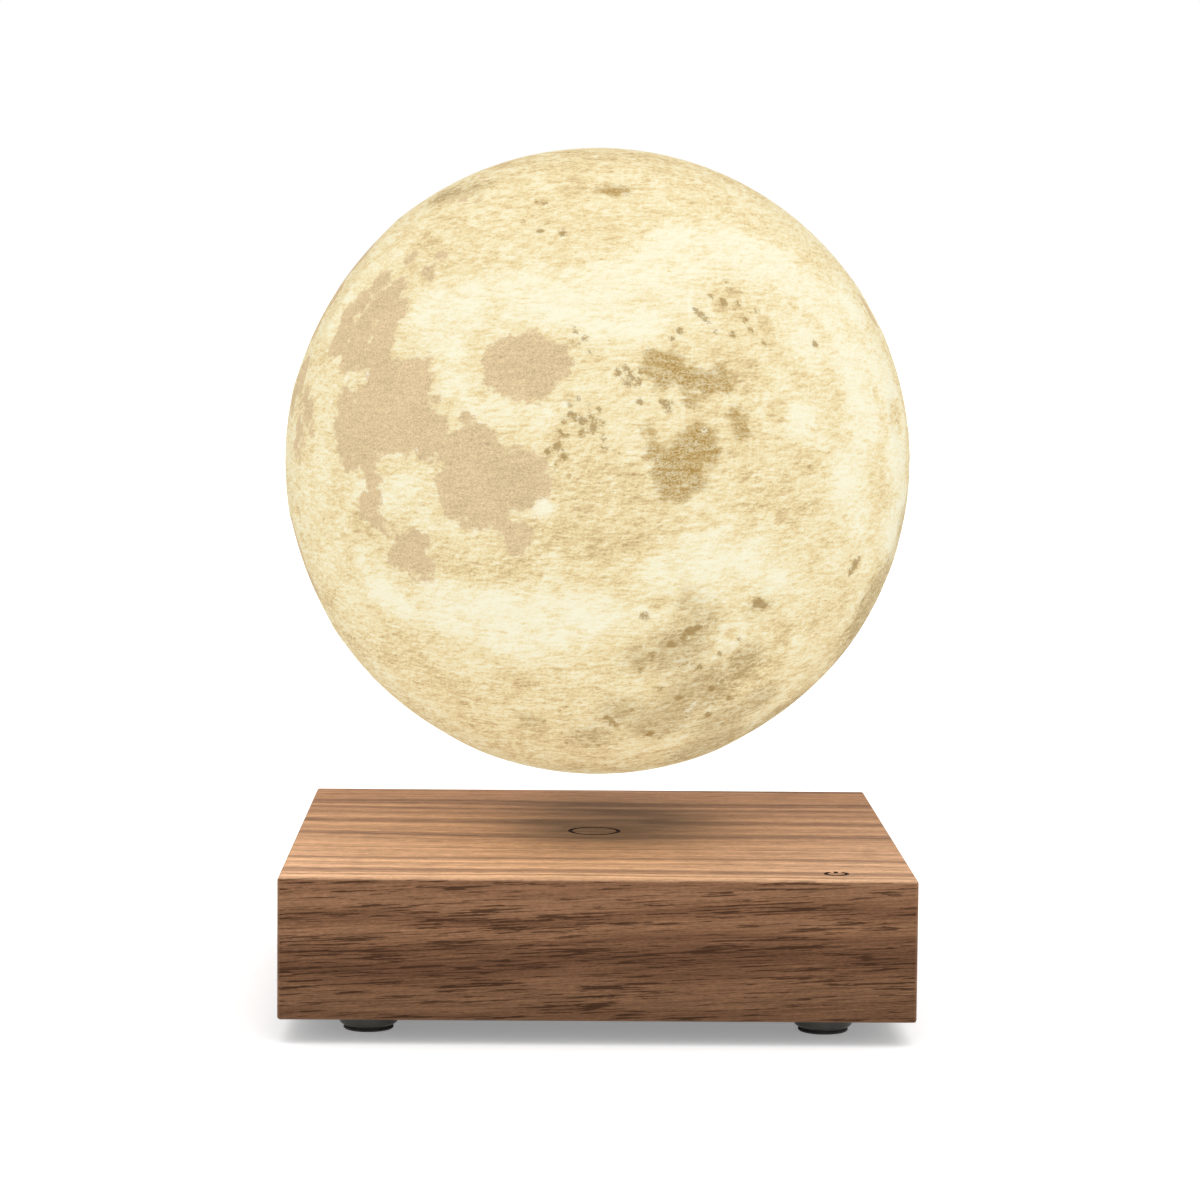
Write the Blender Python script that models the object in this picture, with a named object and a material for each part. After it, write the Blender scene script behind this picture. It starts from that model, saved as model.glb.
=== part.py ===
"""Moon lamp: a printed, glowing moon that floats above a walnut base.

Metres, +Z up. The origin is on the table under the middle of the base, and the front faces -Y.
The moon hangs on its own magnet, so it can be lifted off and turns freely about the upright axis.
"""

import math

import bmesh
import bpy
from mathutils import Matrix, Vector

# Gaps and mesh settings
SEAT = 0.0003
OVERRUN = 0.002
MERGE = 0.00001
FLAT_NORMAL = 0.9999
SHARP_ANGLE = math.radians(35)
CORNERS = ("front_left", "front_right", "rear_right", "rear_left")
WIDE_SIDES = 36
ROUND_SIDES = 20
COIL_SIDES = 16
SMALL_SIDES = 12
CORNER_STEPS = 4
EDGE_STEPS = 2

# Walnut housing
HOUSING_SIDE = 0.143
HOUSING_HEIGHT = 0.0322
HOUSING_ROOF = 0.0035
HOUSING_WALL = 0.005
EDGE_ROUND = 0.0006
ROUTER_RADIUS = 0.003
REBATE_LEDGE = 0.002
REBATE_RADIUS = 0.0045
INLET_RADIUS = 0.0055

# Touch switch, measured from the housing's front and right faces to the middle of its mark
TOUCH_FROM_FRONT = 0.0094
TOUCH_FROM_RIGHT = 0.0177
TOUCH_EASE = 0.0016
TOUCH_POST_GAP = 0.0004
TOUCH_BOARD_LENGTH = 0.018
TOUCH_BOARD_THICKNESS = 0.001
TOUCH_CHIP = (0.0029, 0.0016, 0.0011)
TOUCH_CONNECTOR = (0.006, 0.003, 0.0032)
TOUCH_LEAD_DIAMETER = 0.0014
TOUCH_LEAD_INSET = 0.0035
TOUCH_LEAD_STEPS = 9

# Bottom plate, feet and their screws
FOOT_STANDOFF = 0.0056
PLATE_RECESS = 0.0004
PLATE_THICKNESS = 0.0025
PLATE_SCREW_RADIUS = 0.0013
PLATE_SCREW_HEAD_RADIUS = 0.0024
PLATE_SCREW_HEAD_HEIGHT = 0.0012
PLATE_SCREW_LENGTH = 0.0085
FOOT_INSET = 0.0195
FOOT_RADIUS = 0.0066
FOOT_POCKET = 0.001
FOOT_CONE_HEIGHT = 0.0006
FOOT_CONE_WIDTH = 0.0008
FOOT_TOP_CHAMFER = 0.0003
PAD_RADIUS = 0.00575
PAD_LIP = 0.0007
PAD_EDGE = 0.00025
PAD_NECK_WIDTH = 0.00045
PAD_NECK_HEIGHT = 0.0017

# Main board and what stands on it
PLATE_BOSS_HEIGHT = 0.0024
PLATE_BOSS_RADIUS = 0.0034
BOARD_THICKNESS = 0.0016
BOARD_MARGIN = 0.0015
BOARD_CORNER = 0.002
BOSS_INSET = 0.0115
MODULE_SCREW_RADIUS = 0.0015
MODULE_SCREW_HEAD_RADIUS = 0.0028
MODULE_SCREW_HEAD_HEIGHT = 0.0018
MODULE_SCREW_TIP = 0.001
DRIVER_CHIP = (0.006, 0.005, 0.00175)
CHIP_PLACE_SHARE = 0.8
CONTROLLER_CHIP = (0.009, 0.009, 0.0014)
CAPACITOR_RADIUS = 0.00315
CAPACITOR_HEIGHT_SHARE = 0.9
CAPACITOR_EDGE = 0.0004
CAPACITOR_BEARINGS_DEG = (-125, -55)

# Low-voltage inlet
JACK_WIDTH = 0.009
JACK_LENGTH = 0.012
JACK_AXIS_HEIGHT = 0.0065
JACK_HEIGHT = 0.011
JACK_BORE_RADIUS = 0.0032
JACK_BORE_DEPTH = 0.0088
JACK_PIN_RADIUS = 0.001
JACK_PIN_ROOT = 0.0018
JACK_PIN_SETBACK = 0.0014
JACK_EDGE = 0.0008
JACK_CLEARANCE = 0.0022
TAB_MARGIN = 0.003

# Tray, ring magnet and coil plate
TRAY_WALL = 0.0017
TRAY_FLOOR = 0.002
TRAY_LUG_REACH = 0.004
TRAY_LUG_INSET = 0.0002
TRAY_LEG_RADIUS = 0.0036
RING_MAGNET_SHARE = 0.55
RING_MAGNET_WIDTH_SHARE = 0.34
COIL_PLATE_THICKNESS = 0.0006
COIL_HEADROOM = 0.0008

# Electromagnets and sensors, as shares of the room inside the tray's hub
STEERING_PLACE_SHARE = 0.55
STEERING_GAP = 0.001
CORE_RADIUS_SHARE = 0.33
BOBBIN_WALL = 0.001
FLANGE_THICKNESS = 0.0012
FLANGE_LIP = 0.0006
SENSOR_EASE = 0.0015
SENSOR_HEIGHT_SHARE = 0.6
SENSOR_BOARD_THICKNESS = 0.0012
SENSOR_WIDTH_SHARE = 0.24
SENSOR_SPACING_SHARE = 0.62
SENSOR_CHIP_HEIGHT = 0.0012
HEADER_SHARE = 0.6

# Wire coils that carry the power
WIRE_DIAMETER = 0.001
WIRE_BEND = 0.0011
WIRE_BEND_STEPS = 4
LOOP_POINTS = 24
TRANSMIT_TURNS = 6
TRANSMIT_INNER_SHARE = 0.63
TRANSMIT_OUTER_MARGIN = 0.0028
TRANSMIT_BEARING = math.radians(45)
LEAD_HOLE_EASE = 0.0007
RECEIVE_TURNS = 2.5
RECEIVE_PITCH = 0.0016
RECEIVE_EASE = 0.0005

# Moon
MOON_RADIUS = 0.075
FLOAT_GAP = 0.0146
SHELL_WALL = 0.0016
SHELL_SIDES = 52
SHELL_OUTER_STEPS = 27
SHELL_INNER_STEPS = 10
RELIEF_DEPTH = 0.0007
COLLAR_WALL = 0.003
COLLAR_HEIGHT = 0.0057
CAP_FLAT_RADIUS = 0.0095
CAP_WALL = 0.0016
CUP_FLOOR_WALL = 0.003
CAP_RING_WALL = 0.0016
CAP_LIP = 0.00055
CAP_STEPS = 4
FLOAT_MAGNET_RADIUS = 0.018
FLOAT_MAGNET_THICKNESS = 0.008
CUP_WALL = 0.0016
CAP_BOSS_RADIUS = 0.002
CAP_BOSS_BEARINGS_DEG = (90, 210, 330)
PAD_THICKNESS = 0.001
MAGNET_PAD_INSET = 0.002
LED_BOARD_THICKNESS = 0.0016
LED_SIZE = (0.0035, 0.0028, 0.0008)
LED_COUNT = 12
LED_RADIUS_SHARE = 0.76
LED_SCREW_RADIUS = 0.0009
LED_SCREW_HEAD_RADIUS = 0.0017
LED_SCREW_HEAD_HEIGHT = 0.0012
LED_SCREW_LENGTH = 0.005
RECTIFIER = (0.005, 0.004, 0.0015)
RECEIVER_CAPACITOR_RADIUS = 0.004
RECEIVER_CAPACITOR_HEIGHT = 0.008
RECEIVER_PLACE_SHARE = 0.3

# How the moon is turned: the meridian that faces the front, the pole's lean back and its lean aside
FACING_LONGITUDE_DEG = 70.6
POLE_LEAN_DEG = 5.0
POLE_ROLL_DEG = 1.5
RELIEF_FADE_DEG = 9.0
RIM_HEIGHT_SHARE = 0.3
RIM_WIDTH_SHARE = 0.18

# The moon's large basins: longitude east, latitude north and radius in degrees, and depth as a share
BASIN_SHARES = (
    (-16, 33, 18, 0.9), (18, 28, 11, 0.8), (31, 9, 12, 0.8), (59, 17, 8.5, 1.0), (52, -8, 11, 0.7),
    (35, -15, 7, 0.7), (-39, -24, 7, 0.8), (-17, -20, 11, 0.6), (-57, 20, 17, 0.7), (-93, -19, 10, 0.9),
    (87, -2, 8, 0.7), (81, 57, 6.5, 0.8), (86, 13, 6, 0.6), (92, -45, 12, 0.5), (148, 27, 6.5, 0.9),
    (163, -34, 6.5, 0.8), (-170, -53, 26, 0.6), (-157, -4, 7, 0.8), (-129, 2, 9, 0.8), (-152, -36, 8, 0.8),
    (141, 6, 6, 0.7), (129, -20, 5, 1.0), (-147, 59, 6, 0.7), (136, -58, 6, 0.7), (133, -75, 5.5, 0.8),
    (149, -20, 5, 0.6), (-94, -50, 8, 0.5), (-122, 52, 8, 0.5), (175, 18, 8, 0.5), (60, -25, 5, 0.6),
)

# Heights worked out from the sizes above
HOUSING_TOP_Z = FOOT_STANDOFF + HOUSING_HEIGHT
CEILING_Z = HOUSING_TOP_Z - HOUSING_ROOF
PLATE_LOW_Z = FOOT_STANDOFF + PLATE_RECESS
PLATE_TOP_Z = PLATE_LOW_Z + PLATE_THICKNESS
LEDGE_Z = PLATE_TOP_Z + SEAT
BOARD_LOW_Z = PLATE_TOP_Z + PLATE_BOSS_HEIGHT + SEAT
BOARD_TOP_Z = BOARD_LOW_Z + BOARD_THICKNESS
MOUNT_Z = BOARD_TOP_Z + SEAT
COIL_Z = CEILING_Z - COIL_HEADROOM - WIRE_DIAMETER / 2
COIL_PLATE_TOP_Z = COIL_Z - WIRE_DIAMETER / 2 - SEAT
COIL_PLATE_LOW_Z = COIL_PLATE_TOP_Z - COIL_PLATE_THICKNESS
STACK_TOP_Z = COIL_PLATE_LOW_Z - SEAT
RING_MAGNET_THICKNESS = RING_MAGNET_SHARE * (STACK_TOP_Z - MOUNT_Z)
TRAY_TOP_Z = STACK_TOP_Z - RING_MAGNET_THICKNESS - SEAT
TRAY_LOW_Z = TRAY_TOP_Z - TRAY_FLOOR
JACK_AXIS_Z = MOUNT_Z + JACK_AXIS_HEIGHT
MOON_Z = HOUSING_TOP_Z + FLOAT_GAP + MOON_RADIUS

# Widths worked out from the sizes above
CAVITY_HALF = HOUSING_SIDE / 2 - HOUSING_WALL
REBATE_HALF = CAVITY_HALF + REBATE_LEDGE
PLATE_HALF = REBATE_HALF - SEAT
TOUCH_X = HOUSING_SIDE / 2 - TOUCH_FROM_RIGHT
TOUCH_Y = TOUCH_FROM_FRONT - HOUSING_SIDE / 2
TOUCH_BOARD_WIDTH = 2 * (TOUCH_FROM_FRONT - HOUSING_WALL - TOUCH_EASE)
CORNER_POST = TOUCH_FROM_RIGHT - HOUSING_WALL - TOUCH_BOARD_WIDTH / 2 - TOUCH_POST_GAP
POST_PLACE = CAVITY_HALF - CORNER_POST / 2
FOOT_PLACE = HOUSING_SIDE / 2 - FOOT_INSET
BOARD_HALF = CAVITY_HALF - CORNER_POST - BOARD_MARGIN
BOSS_PLACE = BOARD_HALF - BOSS_INSET
TRAY_RADIUS = CAVITY_HALF - SEAT - JACK_LENGTH - JACK_CLEARANCE
RING_MAGNET_RADIUS = TRAY_RADIUS - TRAY_WALL - SEAT
RING_MAGNET_BORE = RING_MAGNET_RADIUS * (1 - RING_MAGNET_WIDTH_SHARE)
HUB_RADIUS = RING_MAGNET_BORE - SEAT - TRAY_WALL
STEERING_PLACE = STEERING_PLACE_SHARE * HUB_RADIUS
FLANGE_RADIUS = STEERING_PLACE / math.sqrt(2) - STEERING_GAP / 2
CORE_RADIUS = CORE_RADIUS_SHARE * FLANGE_RADIUS
SENSOR_HALF = STEERING_PLACE - FLANGE_RADIUS - SENSOR_EASE
TRANSMIT_INNER = TRANSMIT_INNER_SHARE * HUB_RADIUS
TRANSMIT_PITCH = (HUB_RADIUS - TRANSMIT_OUTER_MARGIN - TRANSMIT_INNER) / TRANSMIT_TURNS

# Sizes inside the moon, worked outwards from its magnet
CUP_BORE = FLOAT_MAGNET_RADIUS + SEAT
CUP_RADIUS = CUP_BORE + CUP_WALL
RECEIVE_INNER = CUP_RADIUS + RECEIVE_EASE + WIRE_DIAMETER / 2
RECEIVE_OUTER = RECEIVE_INNER + RECEIVE_PITCH
CAP_BOSS_PLACE = RECEIVE_OUTER + WIRE_DIAMETER / 2 + SEAT + CAP_BOSS_RADIUS
CAP_RADIUS = CAP_BOSS_PLACE + CAP_BOSS_RADIUS + CAP_LIP
CAP_RING_BORE = CAP_RADIUS - CAP_RING_WALL
OPENING_RADIUS = CAP_RADIUS + SEAT
COLLAR_RADIUS = OPENING_RADIUS + COLLAR_WALL


def sphere_drop(radius, at):
    """How far below the moon's centre a sphere of this radius lies, at a distance from the axis."""
    return math.sqrt(radius ** 2 - at ** 2)


CUP_FLOOR_Z = MOON_Z - sphere_drop(MOON_RADIUS, CUP_BORE) + CUP_FLOOR_WALL
VALLEY_Z = MOON_Z - sphere_drop(MOON_RADIUS, CAP_RING_BORE) + CAP_WALL
FLOAT_MAGNET_Z = CUP_FLOOR_Z + SEAT
CUP_TOP_Z = FLOAT_MAGNET_Z + FLOAT_MAGNET_THICKNESS
MAGNET_PAD_Z = CUP_TOP_Z + SEAT
CAP_BOSS_TOP_Z = MAGNET_PAD_Z + PAD_THICKNESS
LED_BOARD_Z = CAP_BOSS_TOP_Z + SEAT
LED_Z = LED_BOARD_Z + LED_BOARD_THICKNESS + SEAT
LED_BOARD_RADIUS = CAP_RADIUS
COLLAR_TOP_Z = MOON_Z - sphere_drop(MOON_RADIUS, OPENING_RADIUS) + COLLAR_HEIGHT


def clear_scene():
    for old in list(bpy.data.objects):
        bpy.data.objects.remove(old)


def finish(name, colour, roughness, metallic=0.0):
    material = bpy.data.materials.new(name)
    material.use_nodes = True
    shader = material.node_tree.nodes["Principled BSDF"]
    shader.inputs["Base Color"].default_value = (*colour, 1.0)
    shader.inputs["Roughness"].default_value = roughness
    shader.inputs["Metallic"].default_value = metallic
    return material


def pivot(name, place, parent=None):
    """An empty that its pieces hang on, with its origin on the joint's axis."""
    empty = bpy.data.objects.new(name, None)
    bpy.context.collection.objects.link(empty)
    empty.parent = parent
    empty.location = Vector(place) - world_place(parent)
    return empty


def world_place(item):
    place = Vector((0.0, 0.0, 0.0))
    while item is not None:
        place += item.location
        item = item.parent
    return place


def add(name, bm, material, parent, place=(0.0, 0.0, 0.0)):
    """Turns a bmesh into a named object at a place given in the lamp's own frame."""
    mesh = bpy.data.meshes.new(name)
    bm.to_mesh(mesh)
    bm.free()
    return add_copy(name, mesh, material, parent, place)


def add_copy(name, mesh, material, parent, place):
    if not mesh.materials:
        mesh.materials.append(material)
    mesh.shade_smooth()
    mesh.set_sharp_from_angle(angle=SHARP_ANGLE)
    piece = bpy.data.objects.new(name, mesh)
    bpy.context.collection.objects.link(piece)
    piece.parent = parent
    piece.location = Vector(place) - world_place(parent)
    return piece


def add_each(kind, bm, material, parent, names, places):
    """One object for each name and place, which share a mesh."""
    mesh = None
    for name, place in zip(names, places):
        if mesh is None:
            mesh = add(kind + "_" + name, bm, material, parent, place).data
        else:
            add_copy(kind + "_" + name, mesh, material, parent, place)


def shape_with(piece, bm, name, operation="DIFFERENCE", place=(0.0, 0.0, 0.0)):
    """Cuts or joins a hidden shape, placed in the lamp's own frame."""
    tool = add(name, bm, piece.data.materials[0], piece.parent, place)
    tool.hide_render = True
    tool.display_type = "WIRE"
    modifier = piece.modifiers.new(name, "BOOLEAN")
    modifier.operation = operation
    modifier.solver = "EXACT"
    modifier.object = tool


def turned(profile, sides, closed=True):
    """Spins a profile of (radius, height) about the upright axis."""
    bm = bmesh.new()
    verts = [bm.verts.new((radius, 0.0, height)) for radius, height in profile]
    edges = [bm.edges.new(pair) for pair in zip(verts, verts[1:])]
    if closed:
        edges.append(bm.edges.new((verts[-1], verts[0])))
    bmesh.ops.spin(
        bm, geom=verts + edges, cent=(0, 0, 0), axis=(0, 0, 1), angle=math.tau, steps=sides, use_merge=True
    )
    bmesh.ops.remove_doubles(bm, verts=bm.verts, dist=MERGE)
    bmesh.ops.recalc_face_normals(bm, faces=bm.faces)
    flat_middles = [
        vert for vert in bm.verts
        if vert.co.xy.length < MERGE and len({round(face.normal.z, 4) for face in vert.link_faces}) == 1
        and abs(vert.link_faces[0].normal.z) > FLAT_NORMAL
    ]
    bmesh.ops.dissolve_verts(bm, verts=flat_middles)
    return bm


def rod(radius, height, sides, low=0.0):
    return turned([(0, low), (radius, low), (radius, low + height), (0, low + height)], sides, closed=False)


def ring(bore, radius, height, sides):
    return turned([(bore, 0), (radius, 0), (radius, height), (bore, height)], sides)


def prism(outline, height, corner=0.0):
    """Pulls a flat outline up by a height, with its upright edges rounded."""
    bm = bmesh.new()
    face = bm.faces.new([bm.verts.new((x, y, 0.0)) for x, y in outline])
    raised = bmesh.ops.extrude_face_region(bm, geom=[face])["geom"]
    tops = [item for item in raised if isinstance(item, bmesh.types.BMVert)]
    bmesh.ops.translate(bm, verts=tops, vec=(0.0, 0.0, height))
    if corner:
        upright = [edge for edge in bm.edges if edge.verts[0].co.xy == edge.verts[1].co.xy]
        round_edges(bm, upright, corner, CORNER_STEPS)
    bmesh.ops.recalc_face_normals(bm, faces=bm.faces)
    return bm


def rectangle(half_x, half_y):
    return [(half_x, -half_y), (half_x, half_y), (-half_x, half_y), (-half_x, -half_y)]


def block(size, corner=0.0):
    return prism(rectangle(size[0] / 2, size[1] / 2), size[2], corner)


def round_edges(bm, edges, width, steps):
    bmesh.ops.bevel(
        bm, geom=edges, offset=width, offset_type="OFFSET", segments=steps, profile=0.5,
        affect="EDGES", clamp_overlap=True, material=-1,
    )


def copies(bm, places, turns_deg=None):
    """Copies a shape to each place, as separate solids of one piece."""
    first = bm.verts[:] + bm.edges[:] + bm.faces[:]
    turns_deg = turns_deg or [0.0] * len(places)
    for place, turn in zip(places, turns_deg):
        made = bmesh.ops.duplicate(bm, geom=first)["geom"]
        verts = [item for item in made if isinstance(item, bmesh.types.BMVert)]
        bmesh.ops.rotate(bm, verts=verts, cent=(0, 0, 0), matrix=Matrix.Rotation(math.radians(turn), 3, "Z"))
        bmesh.ops.translate(bm, verts=verts, vec=place)
    bmesh.ops.delete(bm, geom=first, context="VERTS")
    return bm


def square_places(half, low=0.0):
    return [Vector((x * half, y * half, low)) for x, y in ((-1, -1), (1, -1), (1, 1), (-1, 1))]


def round_places(radius, bearings_deg, low=0.0):
    """Points on a circle, at bearings counted from +X towards +Y."""
    bearings = [math.radians(bearing) for bearing in bearings_deg]
    return [Vector((radius * math.cos(a), radius * math.sin(a), low)) for a in bearings]


def wire(name, points, diameter, resolution, material, parent):
    """A round wire along points given in the lamp's own frame, with flat ends."""
    curve = bpy.data.curves.new(name, "CURVE")
    curve.dimensions = "3D"
    curve.bevel_depth = diameter / 2
    curve.bevel_resolution = resolution
    curve.use_fill_caps = True
    spline = curve.splines.new("POLY")
    spline.points.add(len(points) - 1)
    offset = world_place(parent)
    for point, place in zip(spline.points, points):
        point.co = (*(place - offset), 1.0)
    curve.materials.append(material)
    piece = bpy.data.objects.new(name, curve)
    bpy.context.collection.objects.link(piece)
    piece.parent = parent
    return piece


def least_gap(points, diameter, loop_points):
    """The least air between stretches of a wire that are at least half a turn apart."""
    least = math.inf
    for index, point in enumerate(points):
        for other in points[index + loop_points // 2:]:
            least = min(least, (point - other).length - diameter)
    return least


# Base: walnut housing, plate and feet


def milled_outline():
    """The cutter's path inside the block: a square that leaves a post in each corner."""
    inner = CAVITY_HALF - CORNER_POST
    points = [Vector((CAVITY_HALF, inner)), Vector((inner, inner)), Vector((inner, CAVITY_HALF))]
    outline = []
    for _ in range(4):
        outline += [tuple(point) for point in points]
        points = [Vector((-point.y, point.x)) for point in points]
    return outline


def countersunk(extra, length):
    """The rim, cone and shank of a countersunk screw, or with extra radius of its hole."""
    head = PLATE_SCREW_HEAD_RADIUS + extra
    shank = PLATE_SCREW_RADIUS + extra
    return [(head, 0), (shank, PLATE_SCREW_HEAD_HEIGHT), (shank, length), (0, length)]


def make_housing(base, walnut):
    bm = block((HOUSING_SIDE, HOUSING_SIDE, HOUSING_HEIGHT))
    round_edges(bm, bm.edges[:], EDGE_ROUND, EDGE_STEPS)
    housing = add("walnut_housing", bm, walnut, base, (0, 0, FOOT_STANDOFF))

    rebate = prism(rectangle(REBATE_HALF, REBATE_HALF), LEDGE_Z - FOOT_STANDOFF + OVERRUN, REBATE_RADIUS)
    shape_with(housing, rebate, "cut_rebate", place=(0, 0, FOOT_STANDOFF - OVERRUN))

    cavity = prism(milled_outline(), CEILING_Z - LEDGE_Z + OVERRUN, ROUTER_RADIUS)
    shape_with(housing, cavity, "cut_cavity", place=(0, 0, LEDGE_Z - OVERRUN))

    inlet = rod(INLET_RADIUS, HOUSING_WALL + 2 * OVERRUN, ROUND_SIDES)
    bmesh.ops.rotate(inlet, verts=inlet.verts, cent=(0, 0, 0), matrix=Matrix.Rotation(-math.pi / 2, 3, "X"))
    shape_with(housing, inlet, "cut_inlet", place=(0, CAVITY_HALF - OVERRUN, JACK_AXIS_Z))

    depth = PLATE_SCREW_LENGTH - PLATE_THICKNESS + OVERRUN
    pilots = copies(rod(PLATE_SCREW_RADIUS + SEAT, depth + OVERRUN, SMALL_SIDES), square_places(POST_PLACE))
    shape_with(housing, pilots, "cut_pilot_holes", place=(0, 0, LEDGE_Z - OVERRUN))


def make_plate(base, black):
    bm = prism(rectangle(PLATE_HALF, PLATE_HALF), PLATE_THICKNESS, REBATE_RADIUS - SEAT)
    plate = add("bottom_plate", bm, black, base, (0, 0, PLATE_LOW_Z))

    overlap = PLATE_THICKNESS / 2
    bosses = copies(rod(PLATE_BOSS_RADIUS, PLATE_BOSS_HEIGHT + overlap, SMALL_SIDES), square_places(BOSS_PLACE))
    shape_with(plate, bosses, "join_bosses", "UNION", (0, 0, PLATE_TOP_Z - overlap))

    bores = copies(rod(MODULE_SCREW_RADIUS + SEAT, PLATE_BOSS_HEIGHT + OVERRUN, SMALL_SIDES),
                   square_places(BOSS_PLACE))
    shape_with(plate, bores, "cut_boss_bores", place=(0, 0, PLATE_TOP_Z + MODULE_SCREW_TIP - SEAT))

    pockets = copies(rod(FOOT_RADIUS + SEAT, FOOT_POCKET + OVERRUN, ROUND_SIDES), square_places(FOOT_PLACE))
    shape_with(plate, pockets, "cut_foot_pockets", place=(0, 0, PLATE_LOW_Z - OVERRUN))

    mouth = [(0, -OVERRUN), (PLATE_SCREW_HEAD_RADIUS + SEAT, -OVERRUN)]
    hole = mouth + countersunk(SEAT, PLATE_THICKNESS + OVERRUN)
    holes = copies(turned(hole, SMALL_SIDES, closed=False), square_places(POST_PLACE))
    shape_with(plate, holes, "cut_screw_holes", place=(0, 0, PLATE_LOW_Z))


def make_plate_screws(base, steel):
    length = PLATE_SCREW_LENGTH - SEAT
    bm = turned([(0, 0)] + countersunk(0.0, length), SMALL_SIDES, closed=False)
    add_each("plate_screw", bm, steel, base, CORNERS, square_places(POST_PLACE, PLATE_LOW_Z + SEAT))


def foot_profile():
    """The collar, from the mouth of its recess round the outside and back."""
    low = PAD_LIP + SEAT
    high = PLATE_LOW_Z + FOOT_POCKET - SEAT
    neck = PAD_RADIUS - PAD_NECK_WIDTH + SEAT
    roof = PAD_LIP + PAD_NECK_HEIGHT + SEAT
    return [
        (0, roof), (neck, roof), (neck, low), (FOOT_RADIUS - FOOT_CONE_WIDTH, low),
        (FOOT_RADIUS, low + FOOT_CONE_HEIGHT), (FOOT_RADIUS, high - FOOT_TOP_CHAMFER),
        (FOOT_RADIUS - FOOT_TOP_CHAMFER, high), (0, high),
    ]


def pad_profile():
    """The soft pad: a lip that stands on the table and a neck that sits in the collar."""
    neck = PAD_RADIUS - PAD_NECK_WIDTH
    top = PAD_LIP + PAD_NECK_HEIGHT
    return [
        (0, 0), (PAD_RADIUS - PAD_EDGE, 0), (PAD_RADIUS, PAD_EDGE), (PAD_RADIUS, PAD_LIP - PAD_EDGE),
        (PAD_RADIUS - PAD_EDGE, PAD_LIP), (neck, PAD_LIP), (neck, top), (0, top),
    ]


def make_feet(base, collar_finish, rubber):
    collar = turned(foot_profile(), ROUND_SIDES, closed=False)
    pad = turned(pad_profile(), ROUND_SIDES, closed=False)
    add_each("foot", collar, collar_finish, base, CORNERS, square_places(FOOT_PLACE))
    add_each("foot_pad", pad, rubber, base, CORNERS, square_places(FOOT_PLACE))


# Base: boards, inlet and touch switch


def make_main_board(base, board_green):
    reach = CAVITY_HALF - SEAT
    tab = JACK_WIDTH / 2 + TAB_MARGIN
    outline = [
        (-BOARD_HALF, -BOARD_HALF), (BOARD_HALF, -BOARD_HALF), (BOARD_HALF, BOARD_HALF), (tab, BOARD_HALF),
        (tab, reach), (-tab, reach), (-tab, BOARD_HALF), (-BOARD_HALF, BOARD_HALF),
    ]
    board = add("main_board", prism(outline, BOARD_THICKNESS, BOARD_CORNER), board_green, base,
                (0, 0, BOARD_LOW_Z))
    holes = copies(rod(MODULE_SCREW_RADIUS + SEAT, BOARD_THICKNESS + 2 * OVERRUN, SMALL_SIDES),
                   square_places(BOSS_PLACE))
    shape_with(board, holes, "cut_board_holes", place=(0, 0, BOARD_LOW_Z - OVERRUN))


def make_module_screws(base, steel):
    """Long pan-head screws: through a tray leg and the main board into the plate's boss."""
    tip = PLATE_TOP_Z + MODULE_SCREW_TIP
    under_head = TRAY_TOP_Z - TRAY_LUG_INSET + SEAT - tip
    top = under_head + MODULE_SCREW_HEAD_HEIGHT
    profile = [
        (0, 0), (MODULE_SCREW_RADIUS, 0), (MODULE_SCREW_RADIUS, under_head),
        (MODULE_SCREW_HEAD_RADIUS, under_head), (MODULE_SCREW_HEAD_RADIUS, top), (0, top),
    ]
    bm = turned(profile, SMALL_SIDES, closed=False)
    add_each("module_screw", bm, steel, base, CORNERS, square_places(BOSS_PLACE, tip))


def make_board_chips(base, black, can_finish):
    reach = CHIP_PLACE_SHARE * TRAY_RADIUS
    sides = ("right", "left")
    add_each("driver_chip", block(DRIVER_CHIP), black, base, sides, round_places(reach, (0, 180), MOUNT_Z))
    add("controller_chip", block(CONTROLLER_CHIP), black, base, (0, -reach, MOUNT_Z))

    height = CAPACITOR_HEIGHT_SHARE * (TRAY_LOW_Z - MOUNT_Z)
    edge = CAPACITOR_RADIUS - CAPACITOR_EDGE
    profile = [
        (0, 0), (CAPACITOR_RADIUS, 0), (CAPACITOR_RADIUS, height - CAPACITOR_EDGE), (edge, height), (0, height),
    ]
    places = round_places(TRAY_RADIUS + SEAT + CAPACITOR_RADIUS, CAPACITOR_BEARINGS_DEG, MOUNT_Z)
    bm = turned(profile, SMALL_SIDES, closed=False)
    add_each("supply_capacitor", bm, can_finish, base, ("left", "right"), places)


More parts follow.
